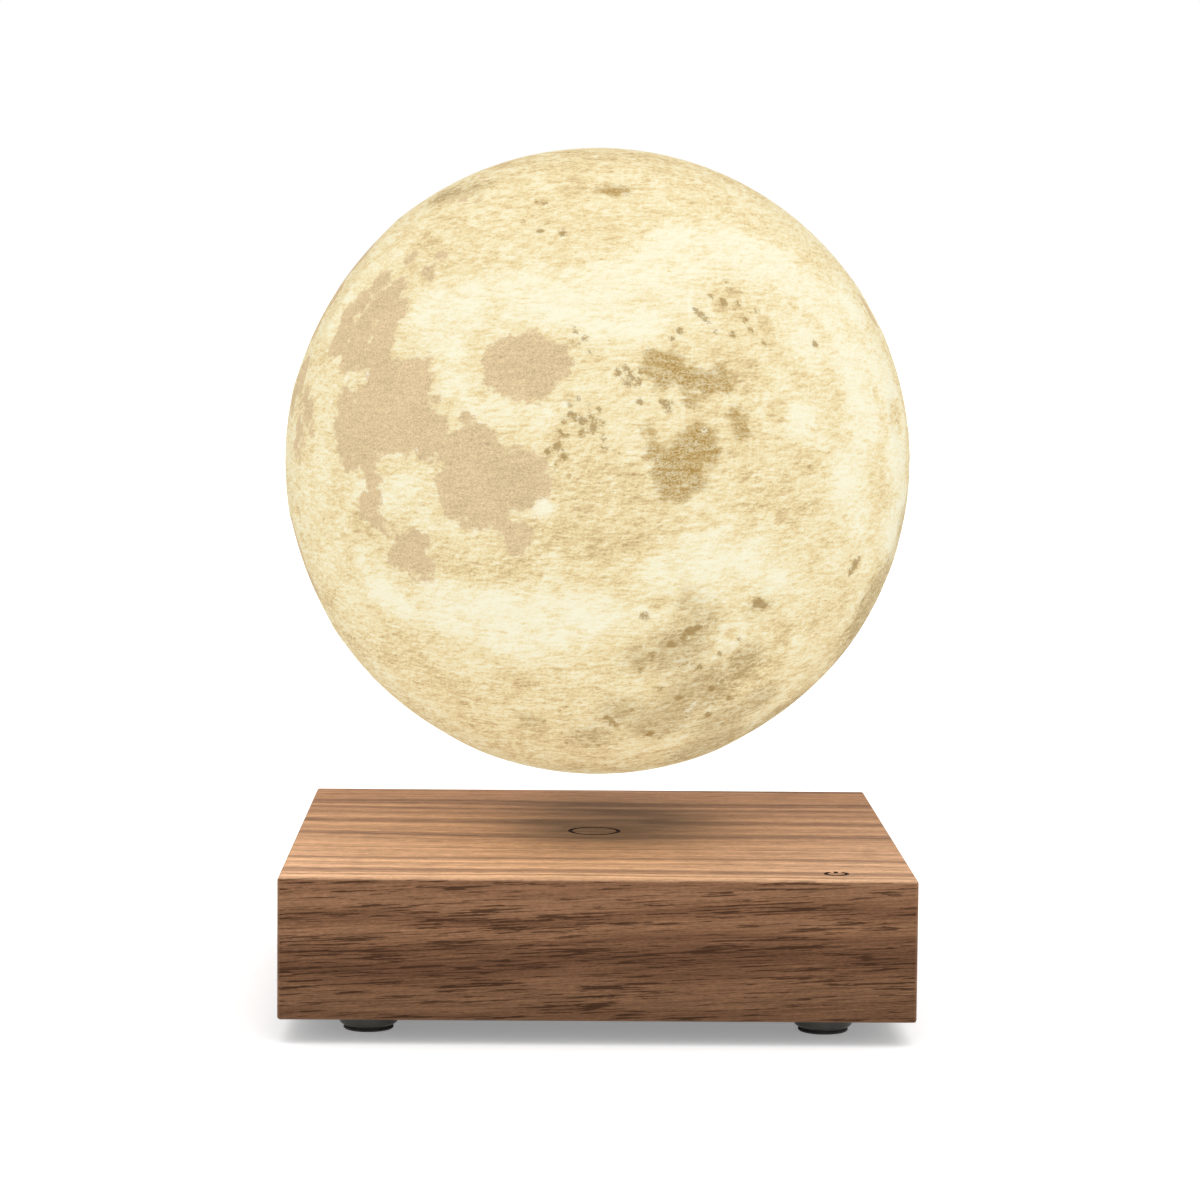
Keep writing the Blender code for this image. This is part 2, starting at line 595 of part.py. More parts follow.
def make_jack(base, black, nickel):
    """The inlet stands on the board's tab with its face against the rear wall."""
    face = CAVITY_HALF - SEAT
    bm = block((JACK_WIDTH, JACK_LENGTH, JACK_HEIGHT), JACK_EDGE)
    jack = add("dc_jack_body", bm, black, base, (0, face - JACK_LENGTH / 2, MOUNT_Z))

    stands_back = Matrix.Rotation(math.pi / 2, 3, "X")
    bore = rod(JACK_BORE_RADIUS, JACK_BORE_DEPTH + OVERRUN, ROUND_SIDES)
    bmesh.ops.rotate(bore, verts=bore.verts, cent=(0, 0, 0), matrix=stands_back)
    shape_with(jack, bore, "cut_jack_bore", place=(0, face + OVERRUN, JACK_AXIS_Z))

    depth = JACK_BORE_DEPTH + JACK_PIN_ROOT
    root = rod(JACK_PIN_RADIUS + SEAT, depth, SMALL_SIDES)
    bmesh.ops.rotate(root, verts=root.verts, cent=(0, 0, 0), matrix=stands_back)
    shape_with(jack, root, "cut_pin_root", place=(0, face, JACK_AXIS_Z))

    pin = rod(JACK_PIN_RADIUS, depth - SEAT - JACK_PIN_SETBACK, SMALL_SIDES)
    bmesh.ops.rotate(pin, verts=pin.verts, cent=(0, 0, 0), matrix=stands_back)
    add("dc_jack_pin", pin, nickel, base, (0, face - JACK_PIN_SETBACK, JACK_AXIS_Z))


def smooth_drop(start, end, steps):
    """An S-shaped route that leaves the start and meets the end upright."""
    pull = (start.z - end.z) / 2
    knots = (start, start - Vector((0, 0, pull)), end + Vector((0, 0, pull)), end)
    route = []
    for step in range(steps + 1):
        t = step / steps
        weights = ((1 - t) ** 3, 3 * t * (1 - t) ** 2, 3 * t * t * (1 - t), t ** 3)
        route.append(sum((weight * knot for weight, knot in zip(weights, knots)), Vector((0, 0, 0))))
    return route


def make_touch_switch(base, board_green, black, cream, grey_lead):
    """The sensor board is stuck to the roof under the mark, and a lead takes it to the main board."""
    right = TOUCH_X + TOUCH_BOARD_WIDTH / 2
    middle_x = right - TOUCH_BOARD_LENGTH / 2
    low = CEILING_Z - SEAT - TOUCH_BOARD_THICKNESS
    size = (TOUCH_BOARD_LENGTH, TOUCH_BOARD_WIDTH, TOUCH_BOARD_THICKNESS)
    add("touch_board", block(size), board_green, base, (middle_x, TOUCH_Y, low))
    chip_low = low - SEAT - TOUCH_CHIP[2]
    add("touch_chip", block(TOUCH_CHIP), black, base, (TOUCH_X, TOUCH_Y, chip_low))

    lead_x = right - TOUCH_BOARD_LENGTH + TOUCH_LEAD_INSET
    connector_y = TOUCH_CONNECTOR[1] - BOARD_HALF
    add("touch_connector", block(TOUCH_CONNECTOR), cream, base, (lead_x, connector_y, MOUNT_Z))
    start = Vector((lead_x, TOUCH_Y, low - SEAT))
    end = Vector((lead_x, connector_y, MOUNT_Z + TOUCH_CONNECTOR[2] + SEAT))
    route = smooth_drop(start, end, TOUCH_LEAD_STEPS)
    wire("touch_lead", route, TOUCH_LEAD_DIAMETER, 2, grey_lead, base)


# Base: levitation module


def make_tray(base, black):
    """Round tray for the ring magnet, with a lug and a leg at each corner."""
    rise = STACK_TOP_Z - TRAY_LOW_Z
    hub_out = HUB_RADIUS + TRAY_WALL
    rim_in = TRAY_RADIUS - TRAY_WALL
    profile = [
        (HUB_RADIUS, 0), (TRAY_RADIUS, 0), (TRAY_RADIUS, rise), (rim_in, rise), (rim_in, TRAY_FLOOR),
        (hub_out, TRAY_FLOOR), (hub_out, rise), (HUB_RADIUS, rise),
    ]
    tray = add("magnet_tray", turned(profile, WIDE_SIDES), black, base, (0, 0, TRAY_LOW_Z))

    reach = BOSS_PLACE + TRAY_LUG_REACH
    slab = prism(rectangle(reach, reach), TRAY_FLOOR - 2 * TRAY_LUG_INSET, TRAY_LUG_REACH)
    shape_with(tray, slab, "join_lugs", "UNION", (0, 0, TRAY_LOW_Z + TRAY_LUG_INSET))

    leg_height = TRAY_LOW_Z - MOUNT_Z + TRAY_FLOOR / 2
    legs = copies(rod(TRAY_LEG_RADIUS, leg_height, SMALL_SIDES), square_places(BOSS_PLACE))
    shape_with(tray, legs, "join_legs", "UNION", (0, 0, MOUNT_Z))

    well = rod(HUB_RADIUS, TRAY_FLOOR + 2 * OVERRUN, WIDE_SIDES)
    shape_with(tray, well, "cut_well", place=(0, 0, TRAY_LOW_Z - OVERRUN))
    bore_height = TRAY_TOP_Z - MOUNT_Z + 2 * OVERRUN
    bores = copies(rod(MODULE_SCREW_RADIUS + SEAT, bore_height, SMALL_SIDES), square_places(BOSS_PLACE))
    shape_with(tray, bores, "cut_leg_bores", place=(0, 0, MOUNT_Z - OVERRUN))


def make_ring_magnet(base, ferrite):
    bm = ring(RING_MAGNET_BORE, RING_MAGNET_RADIUS, RING_MAGNET_THICKNESS, WIDE_SIDES)
    add("ring_magnet", bm, ferrite, base, (0, 0, TRAY_TOP_Z + SEAT))


def make_electromagnets(base, black, copper_tape, iron):
    """Four steering coils inside the hub: a bobbin, its winding under tape and an iron core."""
    height = STACK_TOP_Z - MOUNT_Z
    bore = CORE_RADIUS + SEAT
    drum = bore + BOBBIN_WALL
    upper = height - FLANGE_THICKNESS
    profile = [
        (bore, 0), (FLANGE_RADIUS, 0), (FLANGE_RADIUS, FLANGE_THICKNESS), (drum, FLANGE_THICKNESS),
        (drum, upper), (FLANGE_RADIUS, upper), (FLANGE_RADIUS, height), (bore, height),
    ]
    shapes = {
        "bobbin": (turned(profile, COIL_SIDES), black, MOUNT_Z),
        "winding": (
            ring(drum + SEAT, FLANGE_RADIUS - FLANGE_LIP, upper - FLANGE_THICKNESS - 2 * SEAT, COIL_SIDES),
            copper_tape, MOUNT_Z + FLANGE_THICKNESS + SEAT,
        ),
        "core": (rod(CORE_RADIUS, height, SMALL_SIDES), iron, MOUNT_Z),
    }
    for kind, (bm, material, low) in shapes.items():
        places = round_places(STEERING_PLACE, (-90, 0, 90, 180), low)
        add_each(kind, bm, material, base, ("front", "right", "rear", "left"), places)


def make_sensors(base, board_green, black):
    """Three Hall sensors soldered to a small board, held up between the coils by a pin header."""
    header_height = SENSOR_HEIGHT_SHARE * (STACK_TOP_Z - MOUNT_Z)
    header = (HEADER_SHARE * 2 * SENSOR_HALF, HEADER_SHARE * SENSOR_HALF, header_height)
    add("sensor_header", block(header), black, base, (0, 0, MOUNT_Z))
    board_z = MOUNT_Z + header_height + SEAT
    size = (2 * SENSOR_HALF, 2 * SENSOR_HALF, SENSOR_BOARD_THICKNESS)
    board = add("sensor_board", block(size), board_green, base, (0, 0, board_z))
    sunk = SENSOR_BOARD_THICKNESS / 2
    chip = (2 * SENSOR_WIDTH_SHARE * SENSOR_HALF, SENSOR_HALF, SENSOR_CHIP_HEIGHT + sunk)
    step = SENSOR_SPACING_SHARE * SENSOR_HALF
    places = [Vector((shift, 0, 0)) for shift in (-step, 0, step)]
    shape_with(board, copies(block(chip), places), "join_hall_sensors", "UNION", (0, 0, board_z + sunk))


def quarter_bend(point, heading, lean, outward):
    """Points that turn a wire from its heading towards lean, away from the point and outward."""
    steps = range(1, WIRE_BEND_STEPS + 1)
    angles = [step * math.pi / 2 / WIRE_BEND_STEPS for step in steps]
    bend = [
        point + outward * heading * WIRE_BEND * math.sin(a) + lean * WIRE_BEND * (1 - math.cos(a))
        for a in angles
    ]
    return bend


def heading_at(bearing):
    return Vector((-math.sin(bearing), math.cos(bearing), 0))


def transmit_route():
    """A flat spiral whose two ends turn down through the coil plate to the main board."""
    count = TRANSMIT_TURNS * LOOP_POINTS
    spiral = []
    for index in range(count + 1):
        turn = index / LOOP_POINTS
        bearing = TRANSMIT_BEARING + math.tau * turn
        radius = TRANSMIT_INNER + TRANSMIT_PITCH * turn
        spiral.append(Vector((radius * math.cos(bearing), radius * math.sin(bearing), COIL_Z)))
    down = Vector((0, 0, -1))
    heading = heading_at(TRANSMIT_BEARING)
    inner = quarter_bend(spiral[0], heading, down, -1)
    outer = quarter_bend(spiral[-1], heading, down, 1)
    inner_foot = Vector((*inner[-1].xy, MOUNT_Z))
    outer_foot = Vector((*outer[-1].xy, MOUNT_Z))
    return [inner_foot, *reversed(inner), *spiral, *outer, outer_foot]


def make_power_coil(base, fibre, copper):
    route = transmit_route()
    inner_bore = TRANSMIT_INNER - 2 * LEAD_HOLE_EASE - WIRE_DIAMETER
    disc = ring(inner_bore, TRAY_RADIUS, COIL_PLATE_THICKNESS, WIDE_SIDES)
    coil_plate = add("coil_plate", disc, fibre, base, (0, 0, COIL_PLATE_LOW_Z))
    hole = rod(WIRE_DIAMETER / 2 + LEAD_HOLE_EASE, COIL_PLATE_THICKNESS + 2 * OVERRUN, SMALL_SIDES)
    places = [Vector((*route[0].xy, 0)), Vector((*route[-1].xy, 0))]
    shape_with(coil_plate, copies(hole, places), "cut_lead_holes", place=(0, 0, COIL_PLATE_LOW_Z - OVERRUN))
    wire("transmit_coil", route, WIRE_DIAMETER, 1, copper, base)
    gap = least_gap(route, WIRE_DIAMETER, LOOP_POINTS)
    print(f"transmit_coil: {len(route)} points, least gap to itself {gap * 1000:.2f} mm")


# Moon


def moon_turn():
    """How the printed moon is turned in the lamp's frame."""
    longitude = Matrix.Rotation(math.radians(-90 - FACING_LONGITUDE_DEG), 3, "Z")
    lean = Matrix.Rotation(math.radians(-POLE_LEAN_DEG), 3, "X")
    roll = Matrix.Rotation(math.radians(-POLE_ROLL_DEG), 3, "Y")
    return roll @ lean @ longitude


def moon_direction(longitude_deg, latitude_deg):
    longitude = math.radians(longitude_deg)
    latitude = math.radians(latitude_deg)
    across = math.cos(latitude)
    return Vector((across * math.cos(longitude), across * math.sin(longitude), math.sin(latitude)))


def basin_depth(distance):
    """Depth across one basin, from 1 at its middle to a slightly raised rim at a distance of 1."""
    rim = RIM_HEIGHT_SHARE * math.exp(-(((distance - 1) / RIM_WIDTH_SHARE) ** 2))
    if distance >= 1:
        return -rim
    return (1 - distance ** 2) ** 0.5 - rim


def relief(direction, basins):
    """How far the surface lies below the sphere in one direction."""
    depth = RIM_HEIGHT_SHARE
    for centre, radius, share in basins:
        distance = direction.angle(centre) / radius
        if distance < 1 + 3 * RIM_WIDTH_SHARE:
            depth += share * basin_depth(distance)
    deepest = 1 + RIM_HEIGHT_SHARE
    return RELIEF_DEPTH * max(0.0, min(deepest, depth)) / deepest


def shell_profile():
    """Outer sphere down to the opening, the thick collar round it, and the inner sphere back up."""
    outer_end = math.pi - math.asin(OPENING_RADIUS / MOON_RADIUS)
    inner_radius = MOON_RADIUS - SHELL_WALL
    inner_end = math.pi - math.asin(COLLAR_RADIUS / inner_radius)
    outer = arc(MOON_RADIUS, 0.0, outer_end, SHELL_OUTER_STEPS)
    inner = arc(inner_radius, inner_end, 0.0, SHELL_INNER_STEPS)
    top = COLLAR_TOP_Z - MOON_Z
    return outer + [(OPENING_RADIUS, top), (COLLAR_RADIUS, top)] + inner


def arc(radius, start, end, steps):
    """Points of (radius, height) on a circle, with angles counted from the top."""
    angles = [start + (end - start) * step / steps for step in range(steps + 1)]
    return [(abs(radius * math.sin(angle)), radius * math.cos(angle)) for angle in angles]


def make_shell(spin, moon_white):
    bm = turned(shell_profile(), SHELL_SIDES, closed=False)
    turn = moon_turn()
    basins = [
        (turn @ moon_direction(longitude, latitude), math.radians(radius), share)
        for longitude, latitude, radius, share in BASIN_SHARES
    ]
    opening = math.asin(OPENING_RADIUS / MOON_RADIUS)
    outer_limit = MOON_RADIUS - SHELL_WALL / 2
    for vert in bm.verts:
        if vert.co.length < outer_limit:
            continue
        from_opening = vert.co.angle(Vector((0, 0, -1))) - opening
        fade = max(0.0, min(1.0, from_opening / math.radians(RELIEF_FADE_DEG)))
        direction = vert.co.normalized()
        vert.co -= direction * fade * relief(direction, basins)
    add("moon_shell", bm, moon_white, spin, (0, 0, MOON_Z))


def cap_profile():
    """Flat foot, sphere, outer ring, valley for the coil, cup wall and cup floor."""
    flat_z = MOON_Z - sphere_drop(MOON_RADIUS, CAP_FLAT_RADIUS)
    start = math.asin(CAP_FLAT_RADIUS / MOON_RADIUS)
    end = math.asin(CAP_RADIUS / MOON_RADIUS)
    skin = []
    for step in range(CAP_STEPS + 1):
        angle = start + (end - start) * step / CAP_STEPS
        skin.append((MOON_RADIUS * math.sin(angle), MOON_Z - MOON_RADIUS * math.cos(angle)))
    ring_top = COLLAR_TOP_Z - SEAT
    return [(0, flat_z)] + skin + [
        (CAP_RADIUS, ring_top), (CAP_RING_BORE, ring_top), (CAP_RING_BORE, VALLEY_Z), (CUP_RADIUS, VALLEY_Z),
        (CUP_RADIUS, CUP_TOP_Z), (CUP_BORE, CUP_TOP_Z), (CUP_BORE, CUP_FLOOR_Z), (0, CUP_FLOOR_Z),
    ]


def make_cap(spin, moon_white):
    cap = add("moon_base_cap", turned(cap_profile(), WIDE_SIDES, closed=False), moon_white, spin)
    root = VALLEY_Z - CAP_WALL / 2
    places = round_places(CAP_BOSS_PLACE, CAP_BOSS_BEARINGS_DEG)
    bosses = copies(rod(CAP_BOSS_RADIUS, CAP_BOSS_TOP_Z - root, SMALL_SIDES), places)
    shape_with(cap, bosses, "join_cap_bosses", "UNION", (0, 0, root))
    bore_depth = LED_SCREW_LENGTH - LED_BOARD_THICKNESS + SEAT
    bores = copies(rod(LED_SCREW_RADIUS + SEAT, bore_depth + OVERRUN, SMALL_SIDES), places)
    shape_with(cap, bores, "cut_cap_bores", place=(0, 0, CAP_BOSS_TOP_Z - bore_depth))


def make_float_magnet(float_axis, spin, nickel, foam):
    magnet = rod(FLOAT_MAGNET_RADIUS, FLOAT_MAGNET_THICKNESS, WIDE_SIDES)
    add("levitation_magnet", magnet, nickel, float_axis, (0, 0, FLOAT_MAGNET_Z))
    pad = rod(FLOAT_MAGNET_RADIUS - MAGNET_PAD_INSET, PAD_THICKNESS, ROUND_SIDES)
    add("magnet_pad", pad, foam, spin, (0, 0, MAGNET_PAD_Z))


def receive_route():
    """Down the outer layer, half a turn in at the bottom, and up the inner layer, both ends upright."""
    low = VALLEY_Z + SEAT + WIRE_DIAMETER / 2
    layer = round(RECEIVE_TURNS * LOOP_POINTS)
    swap = LOOP_POINTS // 2
    points = []
    for index in range(2 * layer + swap + 1):
        down = min(index, layer) / LOOP_POINTS
        up = max(index - layer - swap, 0) / LOOP_POINTS
        inward = max(0, min(index - layer, swap)) / swap
        radius = RECEIVE_OUTER - RECEIVE_PITCH * inward
        height = low + RECEIVE_PITCH * (RECEIVE_TURNS - down + up)
        bearing = math.tau * index / LOOP_POINTS
        points.append(Vector((radius * math.cos(bearing), radius * math.sin(bearing), height)))
    last_bearing = math.tau * (2 * layer + swap) / LOOP_POINTS
    lift = Vector((0, 0, 1))
    start = quarter_bend(points[0], heading_at(0.0), lift, -1)
    end = quarter_bend(points[-1], heading_at(last_bearing), lift, 1)
    top = LED_BOARD_Z - SEAT
    start_tip = Vector((*start[-1].xy, top))
    end_tip = Vector((*end[-1].xy, top))
    return [start_tip, *reversed(start), *points, *end, end_tip]


def make_receive_coil(spin, copper):
    route = receive_route()
    wire("receive_coil", route, WIRE_DIAMETER, 1, copper, spin)
    gap = least_gap(route, WIRE_DIAMETER, LOOP_POINTS)
    print(f"receive_coil: {len(route)} points, least gap to itself {gap * 1000:.2f} mm")


def make_led_board(spin, board_white, steel, black, can_finish):
    """The board that carries the soldered ring of lights, screwed to the cap's bosses."""
    disc = rod(LED_BOARD_RADIUS, LED_BOARD_THICKNESS, WIDE_SIDES)
    board = add("led_board", disc, board_white, spin, (0, 0, LED_BOARD_Z))
    places = round_places(CAP_BOSS_PLACE, CAP_BOSS_BEARINGS_DEG)
    holes = copies(rod(LED_SCREW_RADIUS + SEAT, LED_BOARD_THICKNESS + 2 * OVERRUN, SMALL_SIDES), places)
    shape_with(board, holes, "cut_led_board_holes", place=(0, 0, LED_BOARD_Z - OVERRUN))

    bearings = [(index + 0.5) * 360 / LED_COUNT for index in range(LED_COUNT)]
    led_places = round_places(LED_RADIUS_SHARE * LED_BOARD_RADIUS, bearings)
    sunk = LED_BOARD_THICKNESS / 2
    led = block((LED_SIZE[0], LED_SIZE[1], LED_SIZE[2] + sunk))
    leds = copies(led, led_places, bearings)
    shape_with(board, leds, "join_leds", "UNION", (0, 0, LED_BOARD_Z + sunk))

    top = LED_SCREW_LENGTH + LED_SCREW_HEAD_HEIGHT
    profile = [
        (0, 0), (LED_SCREW_RADIUS, 0), (LED_SCREW_RADIUS, LED_SCREW_LENGTH),
        (LED_SCREW_HEAD_RADIUS, LED_SCREW_LENGTH), (LED_SCREW_HEAD_RADIUS, top), (0, top),
    ]
    screw_places = round_places(CAP_BOSS_PLACE, CAP_BOSS_BEARINGS_DEG, LED_Z - LED_SCREW_LENGTH)
    screw = turned(profile, SMALL_SIDES, closed=False)
    add_each("led_screw", screw, steel, spin, ("rear", "left", "right"), screw_places)

    shift = RECEIVER_PLACE_SHARE * LED_BOARD_RADIUS
    add("rectifier", block(RECTIFIER), black, spin, (-shift, 0, LED_Z))
    can = rod(RECEIVER_CAPACITOR_RADIUS, RECEIVER_CAPACITOR_HEIGHT, SMALL_SIDES)
    add("receiver_capacitor", can, can_finish, spin, (shift, 0, LED_Z))


def make_base():
    base = pivot("base_origin", (0, 0, 0))
    walnut = finish("walnut", (0.205, 0.107, 0.058), 0.55)
    black = finish("black_plastic", (0.03, 0.03, 0.032), 0.5)
    collar = finish("foot_plastic", (0.075, 0.072, 0.06), 0.45)
    rubber = finish("foot_rubber", (0.015, 0.015, 0.016), 0.85)
    steel = finish("screw_steel", (0.45, 0.45, 0.46), 0.35, 1.0)
    nickel = finish("nickel_pin", (0.7, 0.68, 0.62), 0.25, 1.0)
    board_green = finish("board_green", (0.02, 0.12, 0.05), 0.45)
    ferrite = finish("ferrite", (0.07, 0.07, 0.075), 0.6)
    copper = finish("copper_wire", (0.75, 0.32, 0.14), 0.35, 1.0)
    tape = finish("winding_tape", (0.42, 0.19, 0.08), 0.4)
    iron = finish("core_iron", (0.3, 0.3, 0.31), 0.5, 1.0)
    fibre = finish("coil_plate_fibre", (0.62, 0.55, 0.36), 0.6)
    cream = finish("connector_nylon", (0.8, 0.76, 0.66), 0.5)
    lead = finish("lead_grey", (0.25, 0.25, 0.26), 0.55)
    can = finish("capacitor_can", (0.6, 0.6, 0.62), 0.3, 1.0)
    make_housing(base, walnut)
    make_plate(base, black)
    make_plate_screws(base, steel)
    make_feet(base, collar, rubber)
    make_main_board(base, board_green)
    make_module_screws(base, steel)
    make_board_chips(base, black, can)
    make_jack(base, black, nickel)
    make_touch_switch(base, board_green, black, cream, lead)
    make_tray(base, black)
    make_ring_magnet(base, ferrite)
    make_electromagnets(base, black, tape, iron)
    make_sensors(base, board_green, black)
    make_power_coil(base, fibre, copper)


def make_moon():
    float_axis = pivot("float_axis", (0, 0, MOON_Z))
    spin = pivot("spin_axis", (0, 0, MOON_Z), float_axis)
    moon_white = finish("moon_print", (0.9, 0.82, 0.62), 0.75)
    nickel = finish("magnet_nickel", (0.7, 0.7, 0.72), 0.25, 1.0)
    foam = finish("pad_foam", (0.05, 0.05, 0.05), 0.9)
    copper = finish("coil_copper", (0.75, 0.32, 0.14), 0.35, 1.0)
    board_white = finish("led_board_white", (0.85, 0.85, 0.83), 0.4)
    steel = finish("small_screw_steel", (0.45, 0.45, 0.46), 0.35, 1.0)
    black = finish("chip_black", (0.02, 0.02, 0.022), 0.4)
    can = finish("receiver_can", (0.6, 0.6, 0.62), 0.3, 1.0)
    make_float_magnet(float_axis, spin, nickel, foam)
    make_shell(spin, moon_white)
    make_cap(spin, moon_white)
    make_receive_coil(spin, copper)
    make_led_board(spin, board_white, steel, black, can)


clear_scene()
make_base()
make_moon()
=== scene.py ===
# %% [markdown]
# # A moon lamp that floats above a walnut block
#
# The lamp has two halves that never touch. A printed moon, lit from inside, hangs in the air above a
# square block of walnut that hides the magnets and coils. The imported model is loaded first, because
# every piece below is built round it, in metres and in the same place.

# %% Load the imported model
import math

import bmesh
import bpy
import numpy as np
from mathutils import Matrix, Vector


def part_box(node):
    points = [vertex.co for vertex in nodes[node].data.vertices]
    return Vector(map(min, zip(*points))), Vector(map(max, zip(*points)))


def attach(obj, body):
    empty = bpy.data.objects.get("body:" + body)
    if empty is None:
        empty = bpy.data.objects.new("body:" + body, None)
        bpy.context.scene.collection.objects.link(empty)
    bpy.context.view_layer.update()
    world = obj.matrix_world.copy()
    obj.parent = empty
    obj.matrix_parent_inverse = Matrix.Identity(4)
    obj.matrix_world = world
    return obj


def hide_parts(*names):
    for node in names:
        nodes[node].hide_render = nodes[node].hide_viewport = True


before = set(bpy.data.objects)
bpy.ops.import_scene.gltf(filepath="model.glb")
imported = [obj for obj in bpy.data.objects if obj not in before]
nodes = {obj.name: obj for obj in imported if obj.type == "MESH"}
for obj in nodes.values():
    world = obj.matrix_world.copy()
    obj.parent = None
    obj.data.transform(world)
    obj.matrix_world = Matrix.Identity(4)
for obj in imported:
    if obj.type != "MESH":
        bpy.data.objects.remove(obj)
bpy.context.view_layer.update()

# %% [markdown]
# ## From a shape to a finished piece
#
# A bmesh is only a shape. To become a piece it needs a name, a finish, smooth shading with sharp
# corners kept and a body to ride on, and the solid it stands for is hidden. Doing that in
# one place keeps every later cell short. Shapes are made in three ways: turned as on a lathe, cut from
# a box, or copied from a imported solid whose outline is right already.

# %% Turn a bmesh into a finished piece
MM = 0.001
CORNERS = ("front_left", "front_right", "rear_right", "rear_left")
CREASE = math.radians(34)


def in_scene(name, data):
    item = bpy.data.objects.new(name, data)
    bpy.context.scene.collection.objects.link(item)
    return item


def mesh_from(name, bm, finish):
    mesh = bpy.data.meshes.new(name)
    bm.to_mesh(mesh)
    bm.free()
    mesh.materials.append(finish)
    return mesh


def shade_creased(mesh):
    """Smooth shading that keeps the sharp corners."""
    mesh.shade_smooth()
    mesh.set_sharp_from_angle(angle=CREASE)


def dress(piece, body, stands_for):
    """Says which body the piece rides on and which solid it stands for, and hides that solid."""
    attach(piece, body)
    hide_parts(stands_for)
    return piece


def piece_from(name, bm, finish, body, stands_for):
    mesh = mesh_from(name, bm, finish)
    if "custom_normal" in mesh.attributes:
        mesh.attributes.remove(mesh.attributes["custom_normal"])
    shade_creased(mesh)
    return dress(in_scene(name, mesh), body, stands_for)


def turned(profile, steps, ring=False):
    """Spins a profile of (radius, height) in millimetres about the upright axis, as on a lathe."""
    bm = bmesh.new()
    verts = [bm.verts.new((radius * MM, 0.0, height * MM)) for radius, height in profile]
    edges = [bm.edges.new(pair) for pair in zip(verts, verts[1:])]
    if ring:
        edges.append(bm.edges.new((verts[-1], verts[0])))
    bmesh.ops.spin(bm, geom=verts + edges, cent=(0, 0, 0), axis=(0, 0, 1), angle=math.tau, steps=steps,
                   use_merge=True)
    bmesh.ops.remove_doubles(bm, verts=bm.verts, dist=0.001 * MM)
    bmesh.ops.recalc_face_normals(bm, faces=bm.faces)
    return bm


def moved(bm, x, y, z=0.0):
    bmesh.ops.translate(bm, verts=bm.verts, vec=(x * MM, y * MM, z * MM))
    return bm


def rotated(bm, degrees, axis):
    turn = Matrix.Rotation(math.radians(degrees), 3, axis)
    bmesh.ops.rotate(bm, verts=bm.verts, cent=(0, 0, 0), matrix=turn)
    return bm


def rod(radius, low, high, steps):
    return turned([(0, low), (radius, low), (radius, high), (0, high)], steps)


def block(width, depth, height):
    """A box in millimetres that stands on its own middle."""
    bm = bmesh.new()
    bmesh.ops.create_cube(bm, size=1.0)
    bmesh.ops.scale(bm, verts=bm.verts, vec=(width * MM, depth * MM, height * MM))
    return moved(bm, 0, 0, height / 2)


def copied(node_name):
    """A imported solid's shape, with its doubled corners merged."""
    bm = bmesh.new()
    bm.from_mesh(nodes[node_name].data)
    bmesh.ops.remove_doubles(bm, verts=bm.verts, dist=0.001 * MM)
    return bm


def on_circle(radius, bearing_deg):
    bearing = math.radians(bearing_deg)
    return radius * math.cos(bearing), radius * math.sin(bearing)

# %% [markdown]
# ## Shapes cut into other shapes
#
# A groove, a socket or a screw's cross is cut with an exact Boolean. The result is read back at once and
# kept as the piece's mesh, so no modifier and no hidden cutter is left in the scene. The faces that the
# cutter leaves take the cutter's own finish, which is how a burnt groove gets its dark colour.

# %% Cut one shape into another
def cut(piece, bm, finish, operation="DIFFERENCE"):
    cutter = in_scene("cutter", mesh_from("cutter", bm, finish))
    modifier = piece.modifiers.new("cut", "BOOLEAN")
    modifier.solver = "EXACT"
    modifier.operation = operation
    modifier.material_mode = "TRANSFER"
    modifier.object = cutter
    bpy.context.view_layer.update()
    depsgraph = bpy.context.evaluated_depsgraph_get()
    result = bpy.data.meshes.new_from_object(piece.evaluated_get(depsgraph))
    piece.modifiers.clear()
    piece.data = result
    bpy.data.objects.remove(cutter)

# %% [markdown]
# ## Helpers for materials
#
# Every finish is a small network of nodes. `feed` sets or links named sockets, and `put` adds one node
# and feeds it. The others name what is used most: a product, a weighted sum, a soft step between two
# values, a mix of two colours, and noise whose scale is given as features per millimetre.

# %% Node helpers
def feed(tree, sockets, feeds):
    """Links each named socket to the output it is given, or else sets it to the value."""
    for name, value in feeds.items():
        if isinstance(value, bpy.types.NodeSocket):
            tree.links.new(value, sockets[name])
        else:
            sockets[name].default_value = value


def put(tree, kind, feeds=None, **settings):
    node = tree.nodes.new("ShaderNode" + kind)
    for name, value in settings.items():
        setattr(node, name, value)
    feed(tree, node.inputs, feeds or {})
    return node


def calc(tree, operation, first, second=0.0):
    return put(tree, "Math", {0: first, 1: second}, operation=operation).outputs[0]


def times(tree, first, second):
    return calc(tree, "MULTIPLY", first, second)


def on_vectors(tree, operation, first, second):
    return put(tree, "VectorMath", {0: first, 1: second}, operation=operation).outputs[0]


def length(tree, vector):
    return put(tree, "VectorMath", {0: vector}, operation="LENGTH").outputs["Value"]


def weighted(tree, parts, start=0.0):
    """The sum of several values, each times its own weight."""
    total = start
    for value, weight in parts:
        total = put(tree, "Math", {0: value, 1: weight, 2: total}, operation="MULTIPLY_ADD").outputs[0]
    return total


def soft_step(tree, value, low, high, start=0.0, end=1.0):
    feeds = {"Value": value, "From Min": low, "From Max": high, "To Min": start, "To Max": end}
    return put(tree, "MapRange", feeds, interpolation_type="SMOOTHSTEP").outputs["Result"]


def mix(tree, amount, under, over, how="MIX"):
    feeds = {0: amount, 6: under, 7: over}
    return put(tree, "Mix", feeds, data_type="RGBA", blend_type=how).outputs[2]


def tinted(tree, colour, tint):
    return mix(tree, 1.0, colour, tint, "MULTIPLY")


